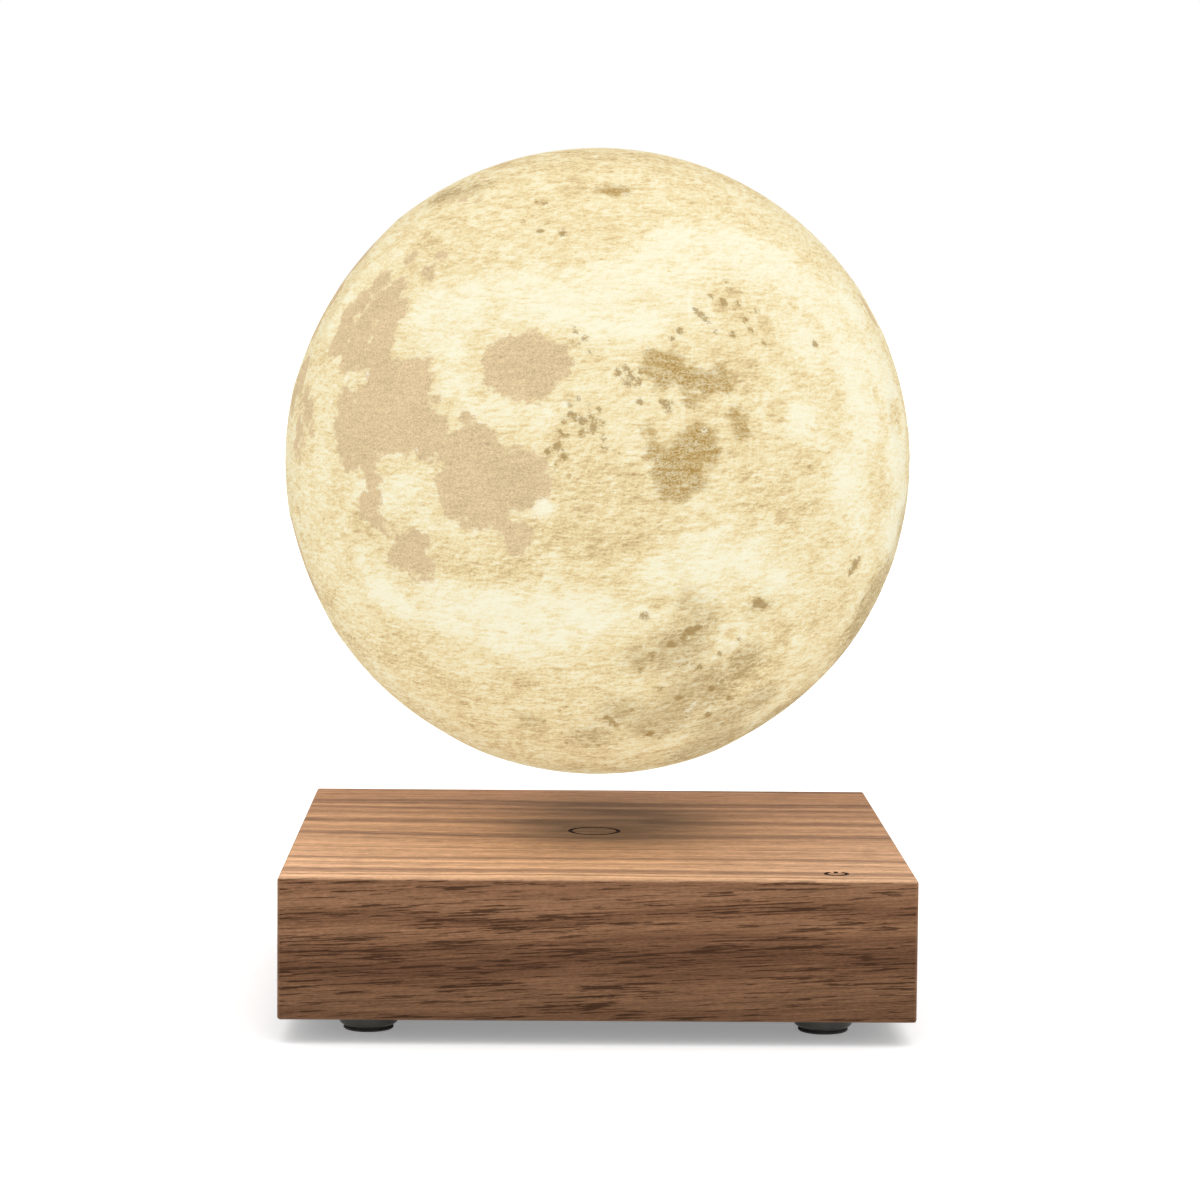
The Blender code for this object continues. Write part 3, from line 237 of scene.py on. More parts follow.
def ramped(tree, value, stops):
    """Turns a value into a colour, through stops of (value, colour)."""
    node = put(tree, "ValToRGB", {0: value})
    elements = node.color_ramp.elements
    for index in (0, -1):
        elements[index].position, elements[index].color = stops[index]
    for position, colour in stops[1:-1]:
        elements.new(position).color = colour
    return node.outputs[0]


def stretched(tree, vector, per_mm):
    return on_vectors(tree, "MULTIPLY", vector, [rate / MM for rate in per_mm])


def noise(tree, vector, per_mm, detail=2.0, roughness=0.5):
    feeds = {"Vector": stretched(tree, vector, per_mm), "Scale": 1.0, "Detail": detail,
             "Roughness": roughness}
    return put(tree, "TexNoise", feeds).outputs[0]


def new_group(name, takes, gives):
    """An empty shader group with named sockets: its tree, what comes in and what goes out."""
    tree = bpy.data.node_groups.new(name, "ShaderNodeTree")
    for label, kind, start in takes:
        socket = tree.interface.new_socket(label, in_out="INPUT", socket_type="NodeSocket" + kind)
        if start is not None:
            socket.default_value = start
    for label, kind in gives:
        tree.interface.new_socket(label, in_out="OUTPUT", socket_type="NodeSocket" + kind)
    return tree, tree.nodes.new("NodeGroupInput").outputs, tree.nodes.new("NodeGroupOutput").inputs


def use_group(tree, group, feeds):
    return put(tree, "Group", feeds, node_tree=group).outputs


def new_finish(name, roughness, metallic=0.0):
    """A material with its own Principled shader, and the Object coordinates that its patterns read."""
    finish = bpy.data.materials.new(name)
    finish.use_nodes = True
    tree = finish.node_tree
    shader = tree.nodes["Principled BSDF"].inputs
    feed(tree, shader, {"Roughness": roughness, "Metallic": metallic})
    return finish, tree, shader, put(tree, "TexCoord").outputs["Object"]


def bumped(tree, height, distance_mm, strength=1.0):
    feeds = {"Height": height, "Distance": distance_mm * MM, "Strength": strength}
    return put(tree, "Bump", feeds).outputs["Normal"]

# %% [markdown]
# ## The camera
#
# The photograph is taken with a long lens from a little above the block, so the top of the block is
# seen as a flat band. The camera's place and turn were worked out from the block's corners and the
# moon's round outline: the rays from the lens have to pass through all of them.

# %% Place the camera
CAMERA_PLACE = Vector((-12.7, -875.4, 170.4)) * MM
CAMERA_PITCH = math.radians(4.99)
CAMERA_YAW = math.radians(0.89)
CAMERA_ROLL = math.radians(0.50)
CAMERA_LENS = 109.44
SENSOR_WIDTH = 36.0
FARTHEST_SEEN = 100.0


def place_camera():
    data = bpy.data.cameras.new("photo_camera")
    data.sensor_width = SENSOR_WIDTH
    data.lens = CAMERA_LENS
    data.clip_end = FARTHEST_SEEN
    camera = in_scene("photo_camera", data)
    ahead = Vector((math.sin(CAMERA_YAW) * math.cos(CAMERA_PITCH),
                    math.cos(CAMERA_YAW) * math.cos(CAMERA_PITCH), -math.sin(CAMERA_PITCH)))
    level = ahead.cross(Vector((0, 0, 1))).normalized()
    above = level.cross(ahead)
    right = level * math.cos(CAMERA_ROLL) + above * math.sin(CAMERA_ROLL)
    up = above * math.cos(CAMERA_ROLL) - level * math.sin(CAMERA_ROLL)
    turn = Matrix((right, up, -ahead)).transposed()
    camera.matrix_world = Matrix.Translation(CAMERA_PLACE) @ turn.to_4x4()
    bpy.context.scene.camera = camera


place_camera()
print("camera at", [round(value / MM, 1) for value in CAMERA_PLACE], "mm")

# %% [markdown]
# ## Walnut
#
# The block is one piece of walnut with its grain from left to right. Growth rings are circles about a
# pith far behind and below it, so the front and the top show them as long stripes and the two ends show
# them as arcs. The rings sway a little, the grain dips towards one end, and one ring is darker, as from
# a dry year. Fibres and open pores run along the grain: short dark dashes on the long faces, dots on the
# end grain. The figure is a group of its own, because the burnt marks need the same wood below them.

# %% The walnut's figure
GRAIN_DIP = 0.045
PITH_SHIFT = (0.0, -260.0, 150.0)
RINGS_PER_MM = 0.17
RING_SWAY = 10.0
DRY_RING = 371.2


def build_walnut_figure():
    gives = [(label, "Float") for label in ("Rings", "Fibre", "Speckle", "Pores", "Height")]
    tree, comes, goes = new_group("walnut figure", [("Place", "Vector", None)], gives)
    place = put(tree, "Mapping", {"Vector": comes["Place"], "Rotation": (0.0, GRAIN_DIP, 0.0)}).outputs[0]
    sway = calc(tree, "SUBTRACT", noise(tree, place, (0.008, 0.03, 0.035), 2.0), 0.5)
    from_pith = on_vectors(tree, "ADD", place, [part * MM for part in PITH_SHIFT])
    radius = length(tree, on_vectors(tree, "MULTIPLY", from_pith, (0.0, 1.0, 1.0)))
    swayed = calc(tree, "ADD", radius, times(tree, sway, RING_SWAY * MM))
    feeds = {"W": times(tree, swayed, RINGS_PER_MM / MM), "Scale": 1.0, "Detail": 4.0, "Roughness": 0.62}
    rings = put(tree, "TexNoise", feeds, noise_dimensions="1D").outputs[0]
    beside = calc(tree, "ABSOLUTE", calc(tree, "SUBTRACT", swayed, DRY_RING * MM))
    rings = weighted(tree, [(soft_step(tree, beside, 0.2 * MM, 2.2 * MM, 1.0, 0.0), -0.10)], rings)
    fibre = noise(tree, place, (0.05, 2.6, 2.6), 5.0, 0.72)
    dashes = noise(tree, place, (0.11, 3.0, 3.0), 3.0, 0.55)
    speckle = noise(tree, place, (0.7, 2.6, 2.6), 3.0, 0.7)
    clusters = noise(tree, place, (0.03, 0.22, 0.22), 4.0, 0.65)
    level = weighted(tree, [(clusters, 0.42), (rings, -0.14)], -0.155)
    pores = soft_step(tree, calc(tree, "ADD", dashes, level), 0.545, 0.585)
    height = calc(tree, "SUBTRACT", times(tree, fibre, 0.35), pores)
    feed(tree, goes, {"Rings": rings, "Fibre": fibre, "Speckle": speckle, "Pores": pores, "Height": height})
    return tree


walnut_figure = build_walnut_figure()
print("walnut figure:", len(walnut_figure.nodes), "nodes")

# %% [markdown]
# The block is painted a little paler along its edges. The block's edges are where two of its six faces
# are near at once, so a product of two soft steps finds them without reading the mesh.

# %% Paler edges of the block
BLOCK_HALF = 71.5
BLOCK_TOP = 37.8
BLOCK_LOW = 5.6
PALE_EDGE_WIDTH = 0.75


def build_pale_edges():
    tree, comes, goes = new_group("pale edges", [("Place", "Vector", None)], [("Amount", "Float")])
    axes = put(tree, "SeparateXYZ", {0: comes["Place"]}).outputs

    def near(value, face):
        return soft_step(tree, value, (face - PALE_EDGE_WIDTH) * MM, face * MM)

    side = near(calc(tree, "ABSOLUTE", axes["X"]), BLOCK_HALF)
    front = near(calc(tree, "ABSOLUTE", axes["Y"]), BLOCK_HALF)
    top = near(axes["Z"], BLOCK_TOP)
    low = near(times(tree, axes["Z"], -1.0), -BLOCK_LOW)
    upright = times(tree, side, front)
    level = times(tree, calc(tree, "MAXIMUM", side, front), calc(tree, "MAXIMUM", top, low))
    feed(tree, goes, {"Amount": calc(tree, "MAXIMUM", upright, level)})
    return tree


pale_edges = build_pale_edges()
print("pale edges:", PALE_EDGE_WIDTH, "mm wide,", len(pale_edges.nodes), "nodes")

# %% [markdown]
# The oiled wood itself: brown heartwood with darker rings, paler fibres and near-black pores. The walls
# are darker low down. The top is painted lighter and warmer than the walls, most at the front left:
# painted light. Behind the ring mark the top carries a dull brown painted shadow of the moon.

# %% Oiled walnut and burnt walnut
WOOD_TONES = ((0.30, (0.135, 0.064, 0.034, 1.0)), (0.48, (0.222, 0.110, 0.058, 1.0)),
              (0.70, (0.290, 0.152, 0.082, 1.0)))
PORE_BROWN = (0.046, 0.020, 0.010, 1.0)
# Colour of the moon's painted shadow on the top.
PAINTED_SHADOW_BROWN = (0.092, 0.044, 0.006, 1.0)
PALE_EDGE_TAN = (0.42, 0.25, 0.15, 1.0)
CHAR_BLACK = (0.012, 0.007, 0.005, 1.0)
# Painted light on the top: colour multipliers at its front and at its rear.
PAINTED_TOP_LIGHT_FRONT = (2.96, 3.46, 3.82, 1.0)
PAINTED_TOP_LIGHT_REAR = (1.80, 1.84, 1.72, 1.0)


def walnut_colour(tree, place, pore_share=0.80):
    figure = use_group(tree, walnut_figure, {"Place": place})
    wood = ramped(tree, figure["Rings"], WOOD_TONES)
    fibre = soft_step(tree, figure["Fibre"], 0.3, 0.7, 0.70, 1.30)
    speckle = soft_step(tree, figure["Speckle"], 0.3, 0.7, 0.84, 1.16)
    streaked = tinted(tree, wood, times(tree, fibre, speckle))
    return figure, mix(tree, times(tree, figure["Pores"], pore_share), streaked, PORE_BROWN)


def painted_moon_shadow(tree, place):
    """Painted shadow of the moon on the top: how strong it is, most behind the ring mark, ragged along the
    grain.
    """
    shift = on_vectors(tree, "ADD", place, (-4.0 * MM, -14.0 * MM, 0.0))
    reach = length(tree, on_vectors(tree, "MULTIPLY", shift, (1.0, 0.66, 0.0)))
    patch = soft_step(tree, reach, 7.0 * MM, 42.0 * MM, 1.0, 0.0)
    cloud = soft_step(tree, noise(tree, place, (0.02, 0.10, 0.10), 3.0), 0.34, 0.62, 0.6, 1.0)
    return times(tree, patch, cloud)


def make_walnut():
    finish, tree, shader, place = new_finish("oiled_walnut", 0.5)
    axes = put(tree, "SeparateXYZ", {0: place}).outputs
    top = soft_step(tree, axes["Z"], (BLOCK_TOP - 0.7) * MM, (BLOCK_TOP - 0.1) * MM)
    figure, colour = walnut_colour(tree, place, weighted(tree, [(top, -0.42)], 0.82))
    # The walls are made darker towards the bottom.
    darker_low_down = soft_step(tree, axes["Z"], (BLOCK_LOW - 6.0) * MM, (BLOCK_LOW + 22.0) * MM, 0.68, 1.12)
    colour = tinted(tree, colour, darker_low_down)
    stripes = soft_step(tree, figure["Rings"], 0.34, 0.62, 0.93, 1.08)
    # Painted light: the top is made lighter and warmer than the walls, most at the front and towards the
    # left.
    rear = soft_step(tree, axes["Y"], -BLOCK_HALF * MM, BLOCK_HALF * MM)
    painted_light_leftwards = soft_step(tree, axes["X"], -BLOCK_HALF * MM, BLOCK_HALF * MM, 1.0, 0.84)
    light = mix(tree, rear, PAINTED_TOP_LIGHT_FRONT, PAINTED_TOP_LIGHT_REAR)
    painted_lit_top = tinted(tree, tinted(tree, colour, light), times(tree, stripes, painted_light_leftwards))
    colour = mix(tree, top, colour, painted_lit_top)
    # Painted shadow of the moon on the top, behind the ring mark.
    patch = times(tree, painted_moon_shadow(tree, place), top)
    colour = mix(tree, times(tree, patch, 0.95), colour, PAINTED_SHADOW_BROWN)
    # The block is made paler along every edge.
    paler_edges = use_group(tree, pale_edges, {"Place": place})["Amount"]
    feed(tree, shader, {
        "Base Color": mix(tree, times(tree, paler_edges, 0.4), colour, PALE_EDGE_TAN),
        "Specular IOR Level": 0.04,
        "Roughness": soft_step(tree, figure["Fibre"], 0.3, 0.7, 0.64, 0.52),
        "Normal": bumped(tree, figure["Height"], 0.05, 0.45),
    })
    return finish


def make_burnt_walnut():
    finish, tree, shader, place = new_finish("burnt_walnut", 0.85)
    _, colour = walnut_colour(tree, place)
    soot = noise(tree, place, (3.0, 3.0, 3.0), 3.0)
    feed(tree, shader, {
        "Base Color": mix(tree, 0.93, colour, CHAR_BLACK),
        "Specular IOR Level": 0.05,
        "Roughness": soft_step(tree, soot, 0.3, 0.7, 0.75, 0.95),
        "Normal": bumped(tree, soot, 0.05, 0.6),
    })
    return finish


oiled_walnut = make_walnut()
burnt_walnut = make_burnt_walnut()
print("walnut finishes:", oiled_walnut.name, burnt_walnut.name)

# %% [markdown]
# ## The walnut block and its burnt marks
#
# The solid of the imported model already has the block's outside, its milled rooms and its holes, so its
# mesh is copied and its doubled corners are merged. Two marks are then burnt a quarter of a millimetre
# deep into the top: a thin ring in the middle that shows where the moon goes, and the touch mark in the
# front right corner, an open circle with a bar. The round inlet hole at the back is cut once more with
# many more sides. Flat faces are shaded flat and only the rounded edges are smooth, which keeps the
# big faces free of odd gradients.

# %% Burn the marks and shade the block
MARK_DEPTH = 0.25
RING_MARK_RADIUS = 6.35
RING_MARK_LINE = 1.0
TOUCH_MARK = (53.8, -62.1)
TOUCH_MARK_RADIUS = 2.9
TOUCH_MARK_LINE = 0.95
TOUCH_MARK_OPEN_DEG = 64.0
TOUCH_BAR_LENGTH = 2.3
TOUCH_BAR_BACK = 1.85
INLET_HEIGHT = 19.6
INLET_HOLE_RADIUS = 5.52
INLET_HOLE_FROM = 64.5
INLET_HOLE_LENGTH = 9.0
FLAT_FACE = 0.9999


def square_section(bore, radius, low, high):
    return [(bore, low), (radius, low), (radius, high), (bore, high)]


def open_circle(radius, line, low, high):
    """An arc with a square section, open towards the rear."""
    bm = bmesh.new()
    section = square_section(radius - line, radius, low, high)
    face = bm.faces.new([bm.verts.new((r * MM, 0.0, z * MM)) for r, z in section])
    rotated(bm, 90 + TOUCH_MARK_OPEN_DEG / 2, "Z")
    bmesh.ops.spin(bm, geom=[face], cent=(0, 0, 0), axis=(0, 0, 1),
                   angle=math.radians(360 - TOUCH_MARK_OPEN_DEG), steps=44, use_merge=False)
    bmesh.ops.recalc_face_normals(bm, faces=bm.faces)
    return bm


def pointed_back(bm, y=0.0):
    """Lays a shape that was turned upright along +Y, at the height of the inlet's axis."""
    return moved(rotated(bm, -90, "X"), 0, y, INLET_HEIGHT)


def make_walnut_block():
    bm = copied("walnut_housing")
    piece = piece_from("walnut_block", bm, oiled_walnut, "base", "walnut_housing")
    low, high = BLOCK_TOP - MARK_DEPTH, BLOCK_TOP + 1.0
    section = square_section(RING_MARK_RADIUS - RING_MARK_LINE, RING_MARK_RADIUS, low, high)
    cut(piece, turned(section, 96, ring=True), burnt_walnut)
    arc = open_circle(TOUCH_MARK_RADIUS, TOUCH_MARK_LINE, low, high)
    cut(piece, moved(arc, *TOUCH_MARK), burnt_walnut)
    bar = block(TOUCH_MARK_LINE, TOUCH_BAR_LENGTH, high - low)
    cut(piece, moved(bar, TOUCH_MARK[0], TOUCH_MARK[1] + TOUCH_BAR_BACK, low), burnt_walnut)
    hole = rod(INLET_HOLE_RADIUS, 0, INLET_HOLE_LENGTH, 72)
    cut(piece, pointed_back(hole, INLET_HOLE_FROM), oiled_walnut)
    piece.data.set_sharp_from_angle(angle=CREASE)
    for face in piece.data.polygons:
        face.use_smooth = max(abs(part) for part in face.normal) < FLAT_FACE
    return piece


walnut_block = make_walnut_block()
print("walnut block:", len(walnut_block.data.polygons), "faces")

# %% [markdown]
# ## The printed moon
#
# The shade is a thin sphere, printed in fine level layers and lit from inside. Where the print is
# thicker it is darker, so the moon's seas are both lower ground and darker patches. A cube whose faces
# are cut into a fine grid and then blown up to a ball has evenly sized faces all over, without the pinched
# poles of a globe. The opening below is cut off level, and its edge is pulled up into a collar and on
# along the inside wall, so the shell is one closed skin.

# %% Blow up the moon's skin
MOON_Z = 127.4
MOON_RADIUS = 75.0
WALL = 1.6
OPENING_RADIUS = 28.15
COLLAR_RADIUS = 31.15
COLLAR_TOP = 63.6
SKIN_CUTS = 123
INNER_STEPS = 11


def blown_ball():
    bm = bmesh.new()
    bmesh.ops.create_cube(bm, size=2.0)
    bmesh.ops.subdivide_edges(bm, edges=bm.edges, cuts=SKIN_CUTS, use_grid_fill=True)
    for vert in bm.verts:
        spread = Vector([math.tan(part * math.pi / 4) for part in vert.co])
        vert.co = spread.normalized() * MOON_RADIUS * MM
    return bm


def inside_of_shell():
    """The collar round the opening and the inner wall, as rings of (radius, height above the middle)."""
    top = COLLAR_TOP - MOON_Z
    inner = MOON_RADIUS - WALL
    first = math.asin(COLLAR_RADIUS / inner)
    rings = [(OPENING_RADIUS, top), (COLLAR_RADIUS, top)]
    for step in range(INNER_STEPS + 1):
        angle = first + (math.pi - first) * step / INNER_STEPS
        rings.append((inner * math.sin(angle), -inner * math.cos(angle)))
    return rings


def moon_shell_shape():
    bm = blown_ball()
    drop = math.sqrt(MOON_RADIUS ** 2 - OPENING_RADIUS ** 2)
    everything = bm.verts[:] + bm.edges[:] + bm.faces[:]
    bmesh.ops.bisect_plane(bm, geom=everything, plane_co=(0, 0, -drop * MM), plane_no=(0, 0, -1),
                           clear_outer=True)
    bmesh.ops.remove_doubles(bm, verts=bm.verts, dist=0.06 * MM)
    edges = [edge for edge in bm.edges if edge.is_boundary]
    for radius, height in inside_of_shell():
        made = bmesh.ops.extrude_edge_only(bm, edges=edges)["geom"]
        edges = [item for item in made if isinstance(item, bmesh.types.BMEdge) and item.is_boundary]
        for vert in {vert for edge in edges for vert in edge.verts}:
            across = vert.co.xy.normalized() * radius * MM
            vert.co = (across.x, across.y, height * MM)
    bmesh.ops.remove_doubles(bm, verts=bm.verts, dist=0.02 * MM)
    bmesh.ops.recalc_face_normals(bm, faces=bm.faces)
    return bm

# %% [markdown]
# ## The moon's seas, craters and bright ground
#
# The lamp shows the real moon, so its features are placed by longitude and latitude and then turned to
# the side that faces the front. Each table holds round patches as longitude, latitude and radius, all in
# degrees: seas, dark sea floors and spots, bright ground with its dots, tan ground and rough grey ground.
# A patch is stored on the mesh as degrees inside its edge, and the finish breaks that edge up with
# noise, so the shores are sharp and ragged however coarse the mesh is.

# %% Where things are on the moon
SEAS = (
    (18, 33, 2.6), (25, 31, 2.6), (14, 29, 2.9), (22, 28, 3.8), (28, 26, 2.9), (11, 27, 2.6), (12, 24, 3),
    (19, 24, 3.8), (26, 23, 3.4), (12, 21, 3), (19, 19, 3.8), (26, 19, 3.5), (9.8, 19.8, 1.4),
    (16.9, 17, 1.8), (23, 17, 2.2), (27.2, 16.9, 1.8), (27, 14, 3.2), (32, 14, 3.2), (36, 14, 2.9),
    (38, 15.8, 1.3), (38.5, 12.7, 1.8), (19, 10, 2.6), (25, 10, 3.7), (31, 10, 4.1), (36, 10, 3.8),
    (40.9, 8.8, 0.9), (43.4, 8.5, 0.5), (19, 6, 3.2), (25, 5, 4.1), (32, 5, 4.4), (37, 5, 4.1),
    (41, 4, 2.9), (20, 2, 2.7), (25, 2, 3.5), (30, 3, 3.2), (35, 2, 2.6), (39, 1, 2.6), (42.1, 0.5, 1.8),
    (21, -1, 2), (26, -1, 2.3), (27, -4, 2), (27, -7, 2), (25, -8, 2.3), (23.7, -9.6, 1.6),
    (26.7, -11, 1.8), (27.6, -12.4, 1.1), (30.4, -13.3, 1.1), (32, -16, 2.3), (35, -15, 2),
    (37.3, -15.7, 1.3), (30, -18, 2.3), (34, -18, 2.9), (36, -19, 2.2), (35.2, -21.3, 1.1),
    (32.4, -21.5, 0.9), (37, -21.1, 0.9), (46.9, 5.4, 1.3), (48, 3, 2.3), (45, 1, 2.6), (50, 1, 3.2),
    (46, -1, 3.8), (51, -3, 4.1), (56, -3, 3.7), (59, -3, 2.6), (60, -6, 2.3), (57, -7, 2.7), (44, -5, 3.2),
    (47, -7, 4.1), (52, -8, 3.7), (56, -8, 2.6), (44, -9, 2.6), (49, -11, 2.6), (52, -12, 2.3),
    (46.5, -12.4, 1.3), (54, -14, 2), (55, -16, 2.3), (56.9, -14, 1.6), (53, 16, 3.5), (58, 15, 5.7),
    (61, 15, 4.4), (63, 15, 3), (53, 13, 2.9), (56, 12, 3.5), (59, 11, 3.2), (61, 12, 2.3),
    (54.4, 18.7, 1.6), (58.1, 19.5, 1.6), (24.9, 37.6, 1.6), (31.7, 34.3, 1.6), (34, 37.5, 1.3),
    (34, 32.5, 0.9), (23.1, 53.6, 1.1), (28.7, 53.3, 1.3), (34.6, 52.3, 1.1), (5, 9, 2.7), (2.6, 12, 1.8),
    (7.5, 5.5, 1.4), (-17, 34, 8.5), (-25, 31, 7.5), (-29, 38, 5), (-31, 26, 4), (-21, 44, 3.5),
    (-8, 41, 4), (-7, 32, 3.5), (-9, 26, 3), (-16, 24, 3.5), (-37, 32, 3.5), (148, 27, 3.5),
)
DARK_SEAS = (
    (80.3, 15.5, 1.6), (83, 14, 2.2), (86, 12, 2.4), (89, 11, 2.2), (92.8, 10.8, 1.6), (81.6, 11.5, 1.6),
    (79.3, 13, 1.3), (95.3, 2.9, 1.5), (94.3, 5.3, 1.3), (87, 1, 2.6), (89, -1, 2.2), (84, -1, 2.2),
    (86, -4, 2.2), (88.6, 2, 1.6), (81, -4, 2), (79.6, -0.8, 1.5), (81.4, -7.3, 1.6), (84.1, -7.9, 1.6),
    (87.1, -5.9, 1.5), (83, -5, 2.4), (82, -2, 2), (78.8, 2.6, 0.9), (86, 8, 1.3), (92.3, 12.9, 1.3),
    (75.7, 53.9, 1.6), (79.7, 53.5, 1.3), (72.1, 54.3, 0.7),
)
DARK_SPOTS = (
    (66.6, 8.6, 0.5), (65.2, 7.6, 0.5), (65.5, 5.7, 0.8), (67.4, 4.6, 0.9), (69.1, 5.3, 0.7),
    (70.4, 6.6, 0.5), (70.7, 4.1, 0.6), (64.2, 4.7, 0.6), (63.3, 2.9, 0.6), (64.6, 2.2, 0.5),
    (67.2, 2.6, 0.7), (71, 1.7, 0.6), (69.2, 3.4, 0.8), (63.1, 0.4, 0.9), (64.1, -1.3, 0.8),
    (62.8, -2.7, 0.5), (71, 0.2, 0.7), (73.3, -0.7, 0.5), (61.4, -0.4, 0.6), (68.4, 7.5, 0.5),
    (66.2, 20.6, 0.7), (67.9, 19.3, 0.7), (66.6, 17.9, 0.5), (68.9, 16.6, 0.5), (65.4, 18.8, 0.5),
    (73.7, 12.9, 0.7), (74.9, 13.8, 0.7), (76.1, 12.2, 0.8), (77.1, 11.2, 0.7), (75.3, 11, 0.7),
    (77.5, 12.9, 0.5), (95.2, 25.9, 0.9), (92.8, 27.2, 0.5), (98.4, 25.7, 0.6), (89.8, 23.7, 0.7),
    (90.8, 22.7, 0.7), (89, 24.6, 0.5), (97.4, 30.2, 0.5), (98.9, 22.8, 0.7), (99.8, 20.6, 0.6),
    (95.6, 19.8, 0.7), (102.2, 24.3, 0.5), (102, 18.2, 0.6), (85.4, 20.4, 0.7), (83.7, 18.9, 0.5),
    (99.8, 28.4, 0.5), (92.3, 20.3, 0.5), (77.3, 7.7, 0.7), (82, 6.6, 0.7), (82.8, 7.7, 0.5),
    (81.2, 7.8, 0.5), (114.4, 18.4, 0.7), (127.4, -20.8, 1.3), (126.3, -22.1, 0.9), (128.7, -19.7, 0.7),
    (102.1, -27.5, 1.1), (103.8, -28.3, 0.7), (78.4, -29.8, 0.8), (79.3, -30.4, 0.5), (62.7, 41.4, 0.9),
    (57.4, 42.1, 0.7), (59, 44.1, 0.5), (54.2, 50.6, 0.7), (56.6, 49.9, 0.7), (52.5, 44.9, 0.5),
    (88.4, -33, 1.1), (89.9, -32.2, 0.9), (87.4, -34.6, 0.7), (85, -35.6, 0.9), (78.7, -41.5, 0.7),
    (80.9, -37.7, 0.7), (72.5, -55, 0.9), (74.4, -56, 0.7), (70.9, -53.7, 0.7), (78.2, -51.5, 0.5),
    (93, -40.9, 0.7), (96.9, -38.1, 0.7), (106.7, -49.2, 0.7), (90.9, -48.8, 0.7), (102.8, -53.4, 0.9),
    (98.9, -46.4, 0.7), (84.5, -46, 0.7), (86.5, -59.5, 0.9), (100.5, -34.9, 0.5),
)
BRIGHT_LAND = (
    (37, 25, 4.8), (45, 27, 4.8), (55, 29, 5.9), (63, 25, 4.8), (71, 29, 5.9), (80, 33, 5.9), (91, 37, 6.6),
    (104, 37, 6.6), (115, 34, 5.9), (121, 26, 5.9), (125, 16, 5.9), (125, 5, 5.9), (120, -5, 4.8),
    (125, -13, 2.9), (111, 20, 4.8), (108, 5, 4), (78, 22, 4.8), (88, 26, 3.7), (43, 18, 2.9),
    (44, 12, 2.9), (48, 8, 2.2), (53, 6, 2.2), (60, 5, 2.2), (70, 21, 3.3), (21, -18, 2.2), (23, -24, 3.7),
    (27, -28, 4), (39, -28, 5.9), (50, -30, 6.6), (59, -31, 6.6), (68, -29, 4.8), (36, -24, 2.9),
    (81, -21, 4), (89, -19, 4.8), (97, -19, 4), (106, -24, 2.9), (89, -25, 2.9), (17.3, -11.1, 1.6),
    (10.7, -7, 1.8), (24.3, -5.7, 1.6), (29.1, -7.6, 1.6), (34, -5, 2.2), (37.5, -11.3, 1.6),
    (17.6, 39.5, 1.6), (13.7, 37.5, 1.5), (7, 29.9, 1.5), (6.2, 23.9, 1.3), (59.9, -9.3, 1.8),
    (118, -35, 2.2), (78, -31, 2.2), (137, 14, 6.5), (139, 0, 6), (133, 27, 5), (146, -14, 8),
)
BRIGHT_DOTS = (
    (18.4, 14.1, 0.9), (14.2, 10.4, 0.7), (20.5, 13.3, 0.5), (24.1, 14.7, 0.5), (1.8, 7.5, 0.5),
    (61.6, 6.3, 0.7), (64.5, 7.6, 0.7), (62.8, 24.5, 0.9), (60, 22.3, 0.5), (53.3, 1.8, 0.5),
    (59.3, 0.5, 0.5), (43.1, 10.7, 0.5), (40.6, 20.1, 0.5), (37.1, 0.7, 0.4), (37.6, -8.7, 0.5),
    (38.9, -12.8, 0.5), (47.7, -13.7, 0.5), (60.7, -9.9, 1.6), (59.1, -10.7, 0.9), (67.7, -32.2, 0.9),
    (69.7, -31.6, 0.5), (92.1, -0.9, 0.4), (88.6, 2.9, 0.5), (104.9, -0.5, 0.5), (80.6, -15.7, 0.5),
    (97.2, -18.6, 0.7), (99.3, -17.4, 0.5), (95.8, -52.3, 0.7), (96.1, -50.3, 0.5),
)
TAN_LAND = (
    (-9, 54, 4.8), (14, 57, 5.1), (31, 62, 4.4), (50, 65, 4.4), (73, 65, 4.8), (96, 61, 4.8),
    (110, 54, 3.7), (-10, 47, 3.3), (-12, 41, 2.6), (28, 41, 4.8), (29, 35, 3.7), (32, 46, 3.3),
    (57, 49, 2.9), (62, 41, 2.4), (65, 54, 3.7), (80, 53, 3.7), (97, 13, 3.7), (102, 19, 2.6),
    (98, 26, 2.9), (95, 4, 3.3), (88, 8, 3.3), (96, -4, 3.7), (102, -6, 4.4), (108, -4, 3.3),
    (106, -10, 3.7), (99, -9, 3.3), (64, 0, 3.7), (69, -4, 4.8), (74, -6, 4.4), (65, -7, 4.4),
    (70, -9, 3.7), (77, -9, 3.3), (63, -15, 4.8), (70, -18, 4.4), (77, -17, 2.9), (42, -19, 3.3),
    (52, -19, 4.4), (57, -21, 3.3), (46, -21, 2.6), (23, -11, 2.6), (1, -25, 4), (-2, -34, 4.8),
    (13, -37, 5.1), (23, -41, 5.9), (32, -46, 5.1), (24, -34, 3.3), (49, -45, 5.1), (59, -48, 5.9),
    (69, -44, 4), (26, -57, 5.1), (46, -61, 5.9), (69, -66, 5.1), (112, -36, 5.1), (123, -32, 4),
    (129, -26, 3.3), (139, -36, 5.1), (140, -48, 5.1), (3, 4, 2.9), (0, 11, 2.6), (6, 18, 2.2),
    # The wide patches from here on lie mostly near the rim as the moon hangs and tone it darker: painted
    # shade at the rim.
    (108, -44, 7), (119, -29, 4), (150, -42, 8), (100, -74, 9), (60, -74, 9), (30, -67, 8), (0, -56, 8),
    (-14, -42, 8), (-11, -26, 6), (-16, 24, 6), (60, 73, 7), (100, 69, 7), (135, 60, 7), (20, 67, 6),
    (-18, 50, 6),
)
